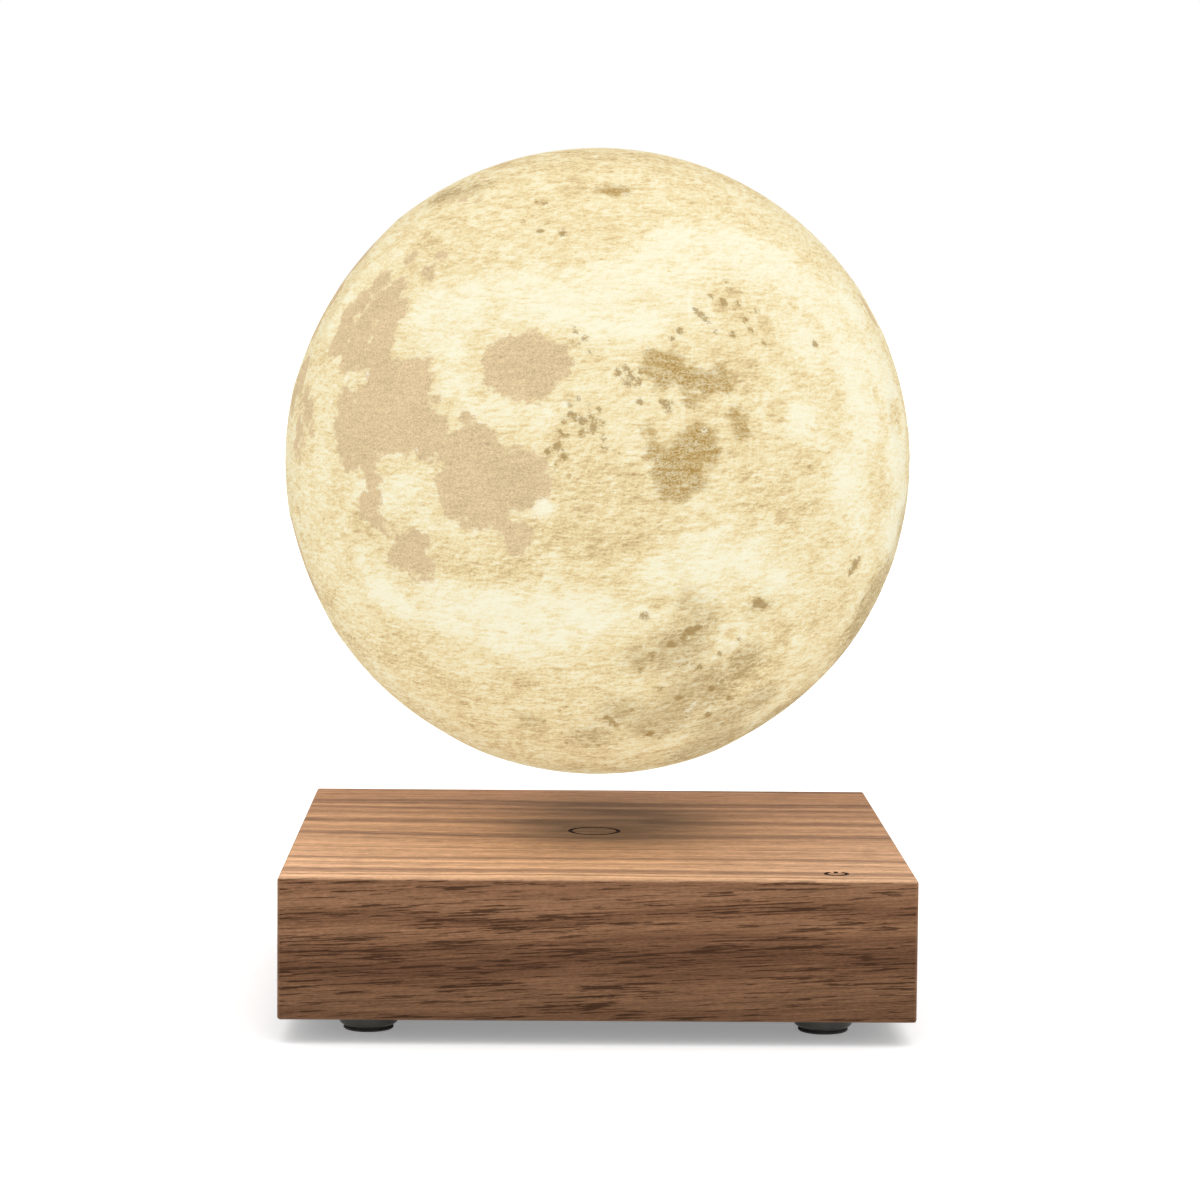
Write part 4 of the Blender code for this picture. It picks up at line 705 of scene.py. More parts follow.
GREY_LAND = (
    (87, -37, 5.5), (96, -47, 6.6), (88, -55, 6.6), (111, -56, 5.9), (75, -52, 4), (66, -60, 3.7),
    (91, -31, 2.9), (102.7, -28.1, 1.6), (104, -40, 4), (78, -39, 2.9), (87.2, -26.7, 1.8),
    (47.6, -54.4, 1.8), (119, -50, 4.4), (154, -56, 3.7), (12, 56, 3), (20, 56.5, 3), (28, 57, 2.5),
    # These two tone the lower right rim darker: painted shade at the rim.
    (150, -55, 8), (125, -66, 8),
)
FAR_SIDE = {
    "sea": (
        (-4, 14, 6), (-22, 12, 10), (-17, -18, 10), (1, 4, 4), (-39, -24, 6.5), (-57, 22, 17),
        (-44, 3, 13), (-33, -10, 9), (-93, -19, 5), (-88, -12, 4), (163, -34, 4), (-165, -42, 9),
        (-155, -55, 7), (-152, -36, 4), (-140, 5, 3)),
    "bright_land": (
        (-60, -43, 16), (-125, 35, 14), (175, 40, 14), (-100, 10, 14), (-150, -10, 10), (-75, -10, 9)),
    "tan_land": (
        (-150, 30, 22), (-90, 50, 16), (160, 10, 15), (-120, -20, 20), (-100, 30, 12), (-75, -30, 12)),
    "grey_land": ((170, -22, 26), (-112, -52, 20), (-138, 8, 16), (-170, 60, 12), (-160, 0, 12)),
}
NAMED_CRATERS = (
    (61, -25, 2.4), (81, -27, 2.6), (55.3, 50.5, 1.6), (44, 47, 1.4), (39, 47, 1.2), (75.7, 53.5, 2.4),
    (129, -20, 2.2), (98, 28, 1.6), (103, 6, 3.2), (141, 6, 5), (104, -12, 2), (121, 5, 1.4),
    (112, 27, 1.9), (33, 1, 0.8), (26, -11, 1.6), (24, -13, 1.5), (64, -32, 1.4), (41, -29, 1.6),
    (88, 58, 1.8), (93, 40, 1.5), (109, 42, 1.8), (-11, -43, 1.5), (-20, 10, 1.6), (-9, 52, 1.7),
    (-3, -9, 2.5),
)
SEA_EDGE, LAND_EDGE, SPOT_EDGE = 0.35, 1.0, 0.15
FACING_LONGITUDE = 70.6
LEAN_DEG = -5.0
ROLL_DEG = -1.5


def moon_turn():
    parts = ((ROLL_DEG, "Y"), (LEAN_DEG, "X"), (-90 - FACING_LONGITUDE, "Z"))
    roll, lean, longitude = (Matrix.Rotation(math.radians(angle), 3, axis) for angle, axis in parts)
    return roll @ lean @ longitude


def towards(longitude_deg, latitude_deg):
    longitude, latitude = math.radians(longitude_deg), math.radians(latitude_deg)
    across = math.cos(latitude)
    point = Vector((across * math.cos(longitude), across * math.sin(longitude), math.sin(latitude)))
    return np.array(moon_turn() @ point)


def degrees_from(directions, longitude_deg, latitude_deg):
    return np.degrees(np.arccos(np.clip(directions @ towards(longitude_deg, latitude_deg), -1.0, 1.0)))


def degrees_inside(directions, patches, softness=SEA_EDGE):
    """How far each direction lies inside the union of the patches, with the joins rounded off."""
    total = np.full(len(directions), 1e-12)
    for longitude, latitude, radius in patches:
        inside = radius - degrees_from(directions, longitude, latitude)
        total += np.exp(np.clip(inside / softness, -27, 27))
    return softness * np.log(total)

# %% [markdown]
# The far side is told in a few wide patches only. Each is broken up into smaller ones by a seeded draw,
# because one wide round patch would look like a coin. Dark and bright spots are scattered over the far
# side by draws of their own.

# %% Break up the far side
PATCH_SEED, DARK_SEED, BRIGHT_SEED = 11, 21, 22
FAR_PARTS = 14
PART_REACH = 0.85
PART_SIZES = (0.16, 0.40)
FAR_SPOTS = 90
FAR_FROM, FAR_TO = 178, 322


def broken_up(patches):
    draw = np.random.default_rng(PATCH_SEED)
    parts = []
    for longitude, latitude, radius in patches:
        for _ in range(FAR_PARTS):
            away = PART_REACH * radius * draw.random() ** 0.5
            bearing = draw.uniform(0, math.tau)
            north = latitude + away * math.sin(bearing)
            east = longitude + away * math.cos(bearing) / math.cos(math.radians(north))
            parts.append((east, north, radius * draw.uniform(*PART_SIZES)))
    return parts


def far_spots(seed):
    draw = np.random.default_rng(seed)
    norths = np.degrees(np.arcsin(draw.uniform(-0.9, 0.9, FAR_SPOTS)))
    easts = draw.uniform(FAR_FROM, FAR_TO, FAR_SPOTS)
    return list(zip(easts, norths, 0.4 + 1.3 * draw.random(FAR_SPOTS) ** 3))


ALL_SEAS = list(SEAS) + broken_up(FAR_SIDE["sea"])
print("patches on the far side:", sum(len(broken_up(patches)) for patches in FAR_SIDE.values()))

# %% [markdown]
# Besides the named craters the print is covered in small ones. They are drawn from a seeded list with
# many small and few large, and none in the seas. Each one is a bowl with a raised rim, added to the
# relief, and stored as a shade as well: a bowl is dark and its rim is light, as in any shaded print. The
# shades are stronger on the far side, where there are few seas to look at. A basin is a wide shallow
# bowl, given with the share of the full depth that it has.

# %% Relief and shades of the skin
BASINS = (
    (-16, 33, 18, 0.9), (18, 28, 11, 0.8), (31, 9, 12, 0.8), (59, 17, 8.5, 1), (52, -8, 11, 0.7),
    (35, -15, 7, 0.7), (-39, -24, 7, 0.8), (-17, -20, 11, 0.6), (-57, 20, 17, 0.7), (-93, -19, 10, 0.9),
    (87, -2, 8, 0.7), (81, 57, 6.5, 0.8), (86, 13, 6, 0.6), (92, -45, 12, 0.5), (148, 27, 6.5, 0.9),
    (163, -34, 6.5, 0.8), (-170, -53, 26, 0.6), (-157, -4, 7, 0.8), (-129, 2, 9, 0.8), (-152, -36, 8, 0.8),
    (141, 6, 6, 0.7), (129, -20, 5, 1), (-147, 59, 6, 0.7), (136, -58, 6, 0.7), (133, -75, 5.5, 0.8),
    (149, -20, 5, 0.6), (-94, -50, 8, 0.5), (-122, 52, 8, 0.5), (175, 18, 8, 0.5), (60, -25, 5, 0.6),
)
CRATER_SEED = 7
SMALL_CRATERS = 420
LAND_DEPTH = 0.33
HIGHEST = 0.225
DEEPEST = 0.72
FADE_DEG = 9.0
BOWL_DEPTH = 0.16
RIM_HEIGHT = 0.05
BASIN_DEPTH = 0.36


def small_craters():
    draw = np.random.default_rng(CRATER_SEED)
    heights = draw.uniform(-0.95, 1.0, SMALL_CRATERS)
    longitudes = draw.uniform(-180, 180, SMALL_CRATERS)
    radii = 0.7 + 1.5 * draw.random(SMALL_CRATERS) ** 4
    return [(lon, math.degrees(math.asin(h)), r) for lon, h, r in zip(longitudes, heights, radii)]


def dig_craters(directions):
    """The bowls' depth in millimetres and their shade, for each direction."""
    depth = np.zeros(len(directions))
    shade = np.zeros(len(directions))
    seeded = small_craters()
    centres = np.array([towards(lon, lat) for lon, lat, _ in seeded])
    clear_of_sea = degrees_inside(centres, ALL_SEAS) < -1.0
    kept = [crater for crater, clear in zip(seeded, clear_of_sea) if clear]
    for lon, lat, radius in kept + list(NAMED_CRATERS):
        share = degrees_from(directions, lon, lat) / radius
        near = share < 2.0
        bowl = np.clip(1.0 - share[near] ** 2, 0.0, 1.0)
        rim = np.exp(-(((share[near] - 1.05) / 0.28) ** 2))
        depth[near] += (BOWL_DEPTH * bowl - RIM_HEIGHT * rim) * min(radius, 2.2)
        shade[near] += 0.9 * rim - 1.5 * bowl
    far = np.clip(0.2 + 1.5 * directions[:, 1], 0.0, 1.0)
    return depth, np.clip(shade, -1.5, 1.0) * (1.0 + 1.6 * far)


def basin_depth(directions):
    depth = np.zeros(len(directions))
    for longitude, latitude, radius, share in BASINS:
        distance = degrees_from(directions, longitude, latitude) / radius
        rim = 0.3 * np.exp(-(((distance - 1) / 0.18) ** 2))
        depth += share * (np.sqrt(np.clip(1 - distance ** 2, 0, None)) - rim)
    return BASIN_DEPTH * depth


def print_moon(piece, relief):
    """Stores the moon's seas and shades on a mesh round the moon's middle, and presses the relief in."""
    mesh = piece.data
    middle = np.array([0, 0, MOON_Z * MM])
    places = np.empty(len(mesh.vertices) * 3, dtype=np.float32)
    mesh.vertices.foreach_get("co", places)
    places = places.reshape(-1, 3).astype(np.float64) - middle
    distance = np.linalg.norm(places, axis=1)
    directions = places / distance[:, None]
    bowls, shade = dig_craters(directions)
    fields = {
        "sea": degrees_inside(directions, ALL_SEAS),
        "dark_sea": degrees_inside(directions, DARK_SEAS),
        "dark_spot": degrees_inside(directions, list(DARK_SPOTS) + far_spots(DARK_SEED), SPOT_EDGE),
        "bright_dot": degrees_inside(directions, list(BRIGHT_DOTS) + far_spots(BRIGHT_SEED), SPOT_EDGE),
        "craters": shade,
    }
    lands = {"bright_land": BRIGHT_LAND, "tan_land": TAN_LAND, "grey_land": GREY_LAND}
    for label, near_side in lands.items():
        patches = list(near_side) + broken_up(FAR_SIDE[label])
        fields[label] = degrees_inside(directions, patches, LAND_EDGE)
    for label, values in fields.items():
        layer = mesh.attributes.new(label, "FLOAT", "POINT")
        layer.data.foreach_set("value", np.clip(values, -8, 8).astype(np.float32))
    if relief:
        opening = 180 - math.degrees(math.asin(OPENING_RADIUS / MOON_RADIUS))
        from_top = np.degrees(np.arccos(np.clip(directions[:, 2], -1, 1)))
        fade = np.clip((opening - from_top) / FADE_DEG, 0.0, 1.0)
        depth = np.clip(LAND_DEPTH + basin_depth(directions) + bowls, HIGHEST, DEEPEST) * fade
        outside = distance > (MOON_RADIUS - WALL / 2) * MM
        directions *= np.where(outside, distance - depth * MM, distance)[:, None]
        mesh.vertices.foreach_set("co", (directions + middle).astype(np.float32).ravel())
        mesh.update()

# %% [markdown]
# ## The print's finish
#
# The shade is warm white plastic, lit from within. Its light comes through Emission, which is strong
# where the print is thin. Level streaks come from the printed layers: noise that is stretched along
# the layers and squeezed across them. On top of that lie the seas in flat tan, the darker sea floors,
# the spots and dots, the shaded craters, and hundreds of tiny craters from cells of a Voronoi pattern.
# The group is used by the shell and by its cap, so that the seam between them hardly shows.

# %% The printed moon's colours
def on_screen(red, green, blue):
    """A colour given as it looks on a screen, 0 to 255, turned into the linear one that a node takes."""
    parts = [part / 255 for part in (red, green, blue)]
    return (*(part / 12.92 if part < 0.04045 else ((part + 0.055) / 1.055) ** 2.4 for part in parts), 1.0)


LAND_TONES = [(value, on_screen(*colour)) for value, colour in (
    (0.0, (188, 160, 108)), (0.25, (217, 192, 145)), (0.45, (236, 213, 162)), (0.62, (246, 230, 184)),
    (0.8, (250, 241, 206)), (1.0, (253, 248, 220)))]
SEA_TAN = on_screen(223, 198, 156)
DARK_GOLD = on_screen(174, 138, 70)
SPOT_BROWN = on_screen(160, 128, 72)
DOT_CREAM = on_screen(255, 251, 226)
OLIVE_GREY = on_screen(193, 174, 132)


def tiny_craters(tree, place, per_mm, share):
    """Shade of tiny craters, one in some of the cells: dark bowls with light rims."""
    cells = put(tree, "TexVoronoi", {"Vector": stretched(tree, place, (per_mm,) * 3), "Scale": 1.0}).outputs
    chance = put(tree, "SeparateColor", {0: cells["Color"]}).outputs
    size = weighted(tree, [(chance["Green"], 0.20)], 0.12)
    ratio = calc(tree, "DIVIDE", cells["Distance"], size)
    bowl = soft_step(tree, ratio, 0.55, 0.95, 1.0, 0.0)
    rim = times(tree, soft_step(tree, ratio, 0.7, 1.0), soft_step(tree, ratio, 1.05, 1.5, 1.0, 0.0))
    picked = soft_step(tree, chance["Red"], 1.0 - share, 1.02 - share)
    return times(tree, weighted(tree, [(rim, 0.7), (bowl, -1.0)]), picked)


def raised_shade(tree, place, per_mm, detail):
    """Rough ground with light from the upper left: the slope of a noise, from two samples of it."""
    step = on_vectors(tree, "ADD", place, (-0.35 * MM, 0.0, 0.35 * MM))
    near, far = (noise(tree, spot, per_mm, detail, 0.7) for spot in (place, step))
    return calc(tree, "SUBTRACT", near, far)


FIELDS = ("Sea", "Dark Sea", "Dark Spot", "Bright Land", "Bright Dot", "Tan Land", "Grey Land", "Craters")


def build_moon_print():
    takes = [("Place", "Vector", None)] + [(label, "Float", 0.0) for label in FIELDS]
    tree, comes, goes = new_group("moon print", takes, [("Colour", "Color"), ("Height", "Float")])
    place = comes["Place"]
    streaks = noise(tree, place, (0.26, 0.26, 1.35), 5.0, 0.66)
    strokes = soft_step(tree, noise(tree, place, (0.55, 0.55, 2.1), 3.0, 0.6), 0.50, 0.66)
    grain = noise(tree, place, (2.1, 2.1, 2.9), 2.0, 0.6)
    broad = noise(tree, place, (0.06, 0.06, 0.10), 4.0, 0.6)
    blotches = soft_step(tree, noise(tree, place, (0.13, 0.13, 0.26), 7.0, 0.78), 0.44, 0.57)
    shore = noise(tree, place, (0.38, 0.38, 0.50), 6.0, 0.74)
    slope = raised_shade(tree, place, (0.40, 0.40, 0.80), 5.0)
    mounds = raised_shade(tree, place, (0.24, 0.24, 0.40), 3.0)
    small = calc(tree, "ADD", tiny_craters(tree, place, 0.34, 0.60), tiny_craters(tree, place, 0.70, 0.60))

    def patch(label):
        ragged = weighted(tree, [(shore, 9.0)], comes[label])
        return soft_step(tree, ragged, 2.0, 7.5)

    def inside(label, parts, start, low, high, most=1.0):
        wave = weighted(tree, parts, start)
        return soft_step(tree, calc(tree, "ADD", comes[label], wave), low, high, 0.0, most)

    bright, tan, grey = (patch(label) for label in ("Bright Land", "Tan Land", "Grey Land"))
    rough = weighted(tree, [(grey, 0.75), (tan, 0.25)], 0.10)
    pocked = times(tree, small, rough)
    stroked = times(tree, strokes, weighted(tree, [(rough, 0.8)], 0.45))
    lumps = times(tree, mounds, rough)
    tone = weighted(tree, [(streaks, 0.85), (grain, 0.50), (broad, 0.40), (blotches, 0.15), (slope, 1.1),
                           (bright, 0.25), (tan, -0.14), (grey, -0.24), (comes["Craters"], 0.10),
                           (pocked, 0.34), (lumps, 3.0), (stroked, -0.18)], -0.32)
    ground = mix(tree, times(tree, grey, 0.42), ramped(tree, tone, LAND_TONES), OLIVE_GREY)
    sea_shade = weighted(tree, [(grain, 1.0), (streaks, 0.35), (broad, 0.30), (slope, 0.5)], 0.175)
    in_sea = inside("Sea", [(shore, 6.0), (grain, 1.2)], -3.8, -0.45, 0.35)
    colour = mix(tree, in_sea, ground, tinted(tree, SEA_TAN, sea_shade))
    in_dark = inside("Dark Sea", [(shore, 7.0), (grain, 2.0)], -4.4, -0.9, 0.8)
    mottled = weighted(tree, [(streaks, 0.25), (grain, 0.45), (shore, 0.30)])
    marks = soft_step(tree, mottled, 0.42, 0.57, 0.96, 0.42)
    colour = mix(tree, times(tree, in_dark, marks), colour, DARK_GOLD)
    spot_wave = [(shore, 2.2), (grain, 1.5)]
    in_spot = inside("Dark Spot", spot_wave, -1.85, -0.20, 0.32, 0.72)
    in_dot = inside("Bright Dot", spot_wave, -1.85, -0.35, 0.50, 0.7)
    colour = mix(tree, in_dot, mix(tree, in_spot, colour, SPOT_BROWN), DOT_CREAM)
    height = weighted(tree, [(streaks, 0.5), (slope, 0.5), (grain, 0.2), (pocked, 0.35), (in_sea, -0.25),
                             (in_spot, -0.3)])
    feed(tree, goes, {"Colour": colour, "Height": height})
    return tree


def make_moon_finish():
    finish, tree, shader, place = new_finish("lit_moon_print", 0.72)
    centred = put(tree, "Mapping", {"Vector": place, "Location": (0.0, 0.0, -MOON_Z * MM)})
    feeds = {"Place": centred.outputs[0]}
    for label in FIELDS:
        stored = put(tree, "Attribute", attribute_name=label.lower().replace(" ", "_"))
        feeds[label] = stored.outputs["Fac"]
    moon = use_group(tree, moon_print, feeds)
    # The glow is turned down where the skin is seen at a slant: painted shade at the rim.
    slant = put(tree, "LayerWeight", {"Blend": 0.5}).outputs["Facing"]
    feed(tree, shader, {
        "Base Color": tinted(tree, moon["Colour"], (0.24, 0.24, 0.24, 1.0)),
        "Emission Color": moon["Colour"],
        "Emission Strength": soft_step(tree, slant, 0.58, 0.97, 0.76, 0.65),
        "Specular IOR Level": 0.1,
        "Roughness": soft_step(tree, moon["Height"], 0.2, 0.8, 0.9, 0.75),
        "Normal": bumped(tree, moon["Height"], 0.35, 0.3),
    })
    return finish


moon_print = build_moon_print()
lit_moon = make_moon_finish()
print("moon print:", len(moon_print.nodes), "nodes")

# %% [markdown]
# The skin is moved up to the moon's place and gets this finish. The fields are stored on it, and the
# relief is pressed into its outside. The inner wall stays a plain sphere, because nobody sees it.

# %% Print the shell
def make_moon_skin():
    bm = moved(moon_shell_shape(), 0, 0, MOON_Z)
    piece = piece_from("moon_skin", bm, lit_moon, "moon", "moon_shell")
    print_moon(piece, relief=True)
    return piece


moon_skin = make_moon_skin()
print("moon skin:", len(moon_skin.data.polygons), "faces")

# %% [markdown]
# ## The cap that closes the moon
#
# From below the moon is closed by a cap, a slice of the same sphere with a small flat foot. Inside it has
# a cup for the magnet, a valley for the coil and three bosses for screws. It is turned from one profile,
# finer than the solid, and gets the bosses and their holes by Boolean.

# %% Turn the cap
CAP_RADIUS = 27.85
CAP_FLAT = 9.5
CAP_SKIN_STEPS = 20
CUP_FLOOR = 57.67
VALLEY = 58.74
CUP_TOP = 65.97
BOSS_PLACE = 25.3
BOSS_TOP = 67.27
BOSSES = {"rear": 90, "left": 210, "right": 330}


def cap_profile():
    first, last = math.asin(CAP_FLAT / MOON_RADIUS), math.asin(CAP_RADIUS / MOON_RADIUS)
    skin = []
    for step in range(CAP_SKIN_STEPS + 1):
        angle = first + (last - first) * step / CAP_SKIN_STEPS
        skin.append((MOON_RADIUS * math.sin(angle), MOON_Z - MOON_RADIUS * math.cos(angle)))
    top = COLLAR_TOP - 0.3
    flat = [(0, skin[0][1]), (CAP_FLAT / 2, skin[0][1])]
    return flat + skin + [
        (CAP_RADIUS, top), (26.25, top), (26.25, VALLEY), (19.9, VALLEY), (19.9, CUP_TOP), (18.3, CUP_TOP),
        (18.3, CUP_FLOOR), (0, CUP_FLOOR),
    ]


def make_moon_cap():
    bm = turned(cap_profile(), 120)
    piece = piece_from("moon_cap", bm, lit_moon, "moon", "moon_base_cap")
    for bearing in BOSSES.values():
        place = on_circle(BOSS_PLACE, bearing)
        cut(piece, moved(rod(2.0, VALLEY - 0.8, BOSS_TOP, 28), *place), lit_moon, "UNION")
        cut(piece, moved(rod(1.2, BOSS_TOP - 3.7, 70, 24), *place), lit_moon)
    shade_creased(piece.data)
    print_moon(piece, relief=False)
    return piece


moon_cap = make_moon_cap()
print("moon cap:", len(moon_cap.data.polygons), "faces")

# %% [markdown]
# ## Plain finishes
#
# Moulded plastic, sheet metal, ferrite and foam differ in colour, gloss and the size of their grain, but
# not in kind. One group makes a soft mottle and a fine grain, and each finish mixes its two
# colours by it, varies its gloss a little, and raises the grain into a small bump. A row of the table
# says dark and light tone, roughness, metal or not, grains per mm, depth of the grain in mm and stretch.

# %% One group for all moulded and rolled surfaces
def build_fine_grain():
    tree, comes, goes = new_group(
        "fine grain", [("Place", "Vector", None), ("Grain per mm", "Float", 3.0)],
        [("Mottle", "Float"), ("Grain", "Float")])
    metres = times(tree, comes["Grain per mm"], 1.0 / MM)
    fine = put(tree, "VectorMath", {0: comes["Place"], "Scale": metres}, operation="SCALE").outputs[0]
    grain = put(tree, "TexNoise", {"Vector": fine, "Scale": 1.0, "Detail": 3.0}).outputs[0]
    mottle = noise(tree, comes["Place"], (0.12, 0.12, 0.12), 4.0, 0.6)
    feed(tree, goes, {"Mottle": weighted(tree, [(mottle, 0.7), (grain, 0.3)]), "Grain": grain})
    return tree


fine_grain = build_fine_grain()


def make_grained(name, dark, light, roughness, metallic=0.0, per_mm=3.0, depth_mm=0.03, stretch=None):
    finish, tree, shader, place = new_finish(name, roughness, metallic)
    if stretch:
        place = put(tree, "Mapping", {"Vector": place, "Scale": stretch}).outputs[0]
    grain = use_group(tree, fine_grain, {"Place": place, "Grain per mm": per_mm})
    shade = soft_step(tree, grain["Mottle"], 0.35, 0.65)
    rough, smooth = min(roughness + 0.08, 1.0), roughness - 0.06
    feed(tree, shader, {
        "Base Color": mix(tree, shade, (*dark, 1.0), (*light, 1.0)),
        "Roughness": soft_step(tree, grain["Mottle"], 0.3, 0.7, rough, smooth),
        "Normal": bumped(tree, grain["Grain"], depth_mm, 0.5),
    })
    return finish


PLAIN = {
    "foot_collar": ((0.085, 0.082, 0.068), (0.135, 0.13, 0.108), 0.40, 0.0, 4.0),
    "foot_rubber": ((0.026, 0.025, 0.022), (0.044, 0.042, 0.036), 0.62, 0.0, 5.0),
    "screw_steel": ((0.36, 0.36, 0.37), (0.50, 0.50, 0.51), 0.34, 1.0, 2.0, 0.01),
    "plate_black": ((0.022, 0.022, 0.024), (0.038, 0.038, 0.041), 0.52, 0.0, 2.2, 0.06),
    "jack_black": ((0.016, 0.016, 0.017), (0.028, 0.028, 0.03), 0.46),
    "pin_nickel": ((0.60, 0.58, 0.52), (0.74, 0.72, 0.66), 0.24, 1.0, 1.5, 0.006),
    "tray_black": ((0.02, 0.02, 0.021), (0.034, 0.034, 0.036), 0.55, 0.0, 2.5),
    "bobbin_black": ((0.018, 0.018, 0.019), (0.032, 0.032, 0.034), 0.48),
    "ferrite_grey": ((0.05, 0.05, 0.054), (0.085, 0.085, 0.09), 0.62, 0.0, 1.2, 0.08),
    "core_iron": ((0.22, 0.22, 0.23), (0.34, 0.34, 0.35), 0.48, 1.0, 1.8, 0.02, (1.0, 1.0, 0.15)),
    "magnet_nickel": ((0.62, 0.62, 0.64), (0.76, 0.76, 0.78), 0.22, 1.0, 1.0, 0.004),
    "can_aluminium": ((0.50, 0.50, 0.52), (0.66, 0.66, 0.68), 0.30, 1.0, 2.5, 0.01, (1.0, 1.0, 0.1)),
    "nylon_cream": ((0.72, 0.68, 0.58), (0.84, 0.80, 0.70), 0.46),
    "lead_grey": ((0.19, 0.19, 0.20), (0.28, 0.28, 0.29), 0.55),
    "pad_foam": ((0.03, 0.03, 0.03), (0.075, 0.075, 0.075), 0.92, 0.0, 1.6, 0.2),
    "chip_epoxy": ((0.014, 0.014, 0.015), (0.026, 0.026, 0.028), 0.44, 0.0, 5.0),
    "coil_fibre": ((0.52, 0.45, 0.28), (0.68, 0.61, 0.42), 0.58, 0.0, 1.5, 0.03, (0.3, 1.0, 1.0)),
    "enamelled_copper": ((0.66, 0.25, 0.10), (0.80, 0.37, 0.17), 0.30, 1.0, 2.0, 0.01),
    "winding_tape": ((0.36, 0.155, 0.062), (0.47, 0.22, 0.10), 0.36, 0.0, 1.5, 0.03, (0.4, 0.4, 2.0)),
}
plain = {name: make_grained(name, *row) for name, row in PLAIN.items()}
print("plain finishes:", len(plain))

# %% [markdown]
# ## Circuit boards
#
# A board is glass fibre under coloured lacquer. The copper tracks below it stand out a little, lighter
# and raised. A brick pattern with wide joints gives such tracks: long straight runs with steps, at
# one scale for the power side and one for the signals.

# %% Lacquered boards
def bricks(tree, place, per_mm, joint, width, height):
    feeds = {"Vector": stretched(tree, place, (per_mm,) * 3), "Scale": 1.0, "Mortar Size": joint,
             "Brick Width": width, "Row Height": height}
    return put(tree, "TexBrick", feeds).outputs["Fac"]


def make_board(name, lacquer, track, roughness):
    finish, tree, shader, place = new_finish(name, roughness)
    across = put(tree, "Mapping", {"Vector": place, "Rotation": (0.0, 0.0, math.pi / 2)}).outputs[0]
    wide = bricks(tree, place, 0.045, 0.02, 0.9, 0.22)
    thin = bricks(tree, across, 0.16, 0.015, 1.4, 0.3)
    tracks = calc(tree, "MAXIMUM", wide, thin)
    grain = use_group(tree, fine_grain, {"Place": place, "Grain per mm": 4.0})
    colour = mix(tree, times(tree, tracks, 0.7), lacquer, track)
    feed(tree, shader, {
        "Base Color": tinted(tree, colour, soft_step(tree, grain["Mottle"], 0.3, 0.7, 0.88, 1.1)),
        "Roughness": soft_step(tree, tracks, 0.0, 1.0, roughness, roughness - 0.08),
        "Normal": bumped(tree, tracks, 0.035, 0.5),
    })
    return finish


board_green = make_board("board_green", (0.018, 0.11, 0.045, 1.0), (0.05, 0.21, 0.085, 1.0), 0.4)
board_white = make_board("board_white", (0.82, 0.82, 0.80, 1.0), (0.90, 0.90, 0.88, 1.0), 0.38)

# %% [markdown]
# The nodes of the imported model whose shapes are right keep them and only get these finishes. Which
# node gets which follows from what it is made of.

# %% Give the kept nodes their finishes
SIDES = {"front": -90, "right": 0, "rear": 90, "left": 180}
KEPT = {
    plain["plate_black"]: ("bottom_plate",),
    board_green: ("main_board", "touch_board", "sensor_board"),
    board_white: ("led_board",),
    plain["chip_epoxy"]: (
        "driver_chip_right", "driver_chip_left", "controller_chip", "touch_chip", "rectifier"),
    plain["nylon_cream"]: ("touch_connector",),
    plain["tray_black"]: ("magnet_tray", "sensor_header"),
    plain["ferrite_grey"]: ("ring_magnet",),
    plain["bobbin_black"]: ["bobbin_" + side for side in SIDES],
    plain["core_iron"]: ["core_" + side for side in SIDES],
    plain["coil_fibre"]: ("coil_plate",),
    plain["magnet_nickel"]: ("levitation_magnet",),
}
for finish, names in KEPT.items():
    for name in names:
        nodes[name].data.materials.clear()
        nodes[name].data.materials.append(finish)
print("kept nodes:", sum(len(names) for names in KEPT.values()))

# %% [markdown]
# ## Feet
#
# Each foot is a turned collar with a soft pad in it. The collar has a cone at its lower edge, and the
# pad stands out below it with a rounded lip. Both are turned finely and their sharp rings are eased
# with a bevel, because the front two are seen close to the table in the photograph.

# %% Turn the feet
FOOT_PLACE = 52.0
COLLAR_PROFILE = (
    (0, 2.7), (5.6, 2.7), (5.6, 1), (5.8, 1), (6.6, 1.6), (6.6, 6.4), (6.3, 6.7), (0, 6.7))
PAD_PROFILE = (
    (0, 0), (5.5, 0), (5.75, 0.25), (5.75, 0.45), (5.5, 0.7), (5.3, 0.7), (5.3, 2.4), (0, 2.4))
EASE_ABOVE = 0.3


def eased(bm, width, segments=2):
    joined = [edge for edge in bm.edges if len(edge.link_faces) == 2]
    sharp = [edge for edge in joined if edge.calc_face_angle() > EASE_ABOVE]
    bmesh.ops.bevel(bm, geom=sharp, offset=width * MM, offset_type="OFFSET", segments=segments,
                    profile=0.5, affect="EDGES", clamp_overlap=True, material=-1)
    return bm


def at_corners(distance):
    ways = ((-1, -1), (1, -1), (1, 1), (-1, 1))
    return [(corner, x * distance, y * distance) for corner, (x, y) in zip(CORNERS, ways)]


def make_feet():
    for corner, x, y in at_corners(FOOT_PLACE):
        collar = moved(eased(turned(COLLAR_PROFILE, 72), 0.1), x, y)
        piece_from("foot_collar_" + corner, collar, plain["foot_collar"], "base",
                   "foot_" + corner)
        pad = moved(eased(turned(PAD_PROFILE, 72), 0.09), x, y)
        piece_from("foot_lip_" + corner, pad, plain["foot_rubber"], "base",
                   "foot_pad_" + corner)


make_feet()
print("feet:", len(CORNERS), "at", FOOT_PLACE, "mm from the middle, both ways")

# %% [markdown]
# ## Screws
#
# Three kinds of screw hold the lamp together: countersunk ones in the bottom plate, long pan heads
# through the magnet tray, and small pan heads on the light board. They differ only in profile. The
# cross in the head is two crossed bars, cut in at the head's own end.

# %% Turn the screws
CROSS_SLOT = 0.26


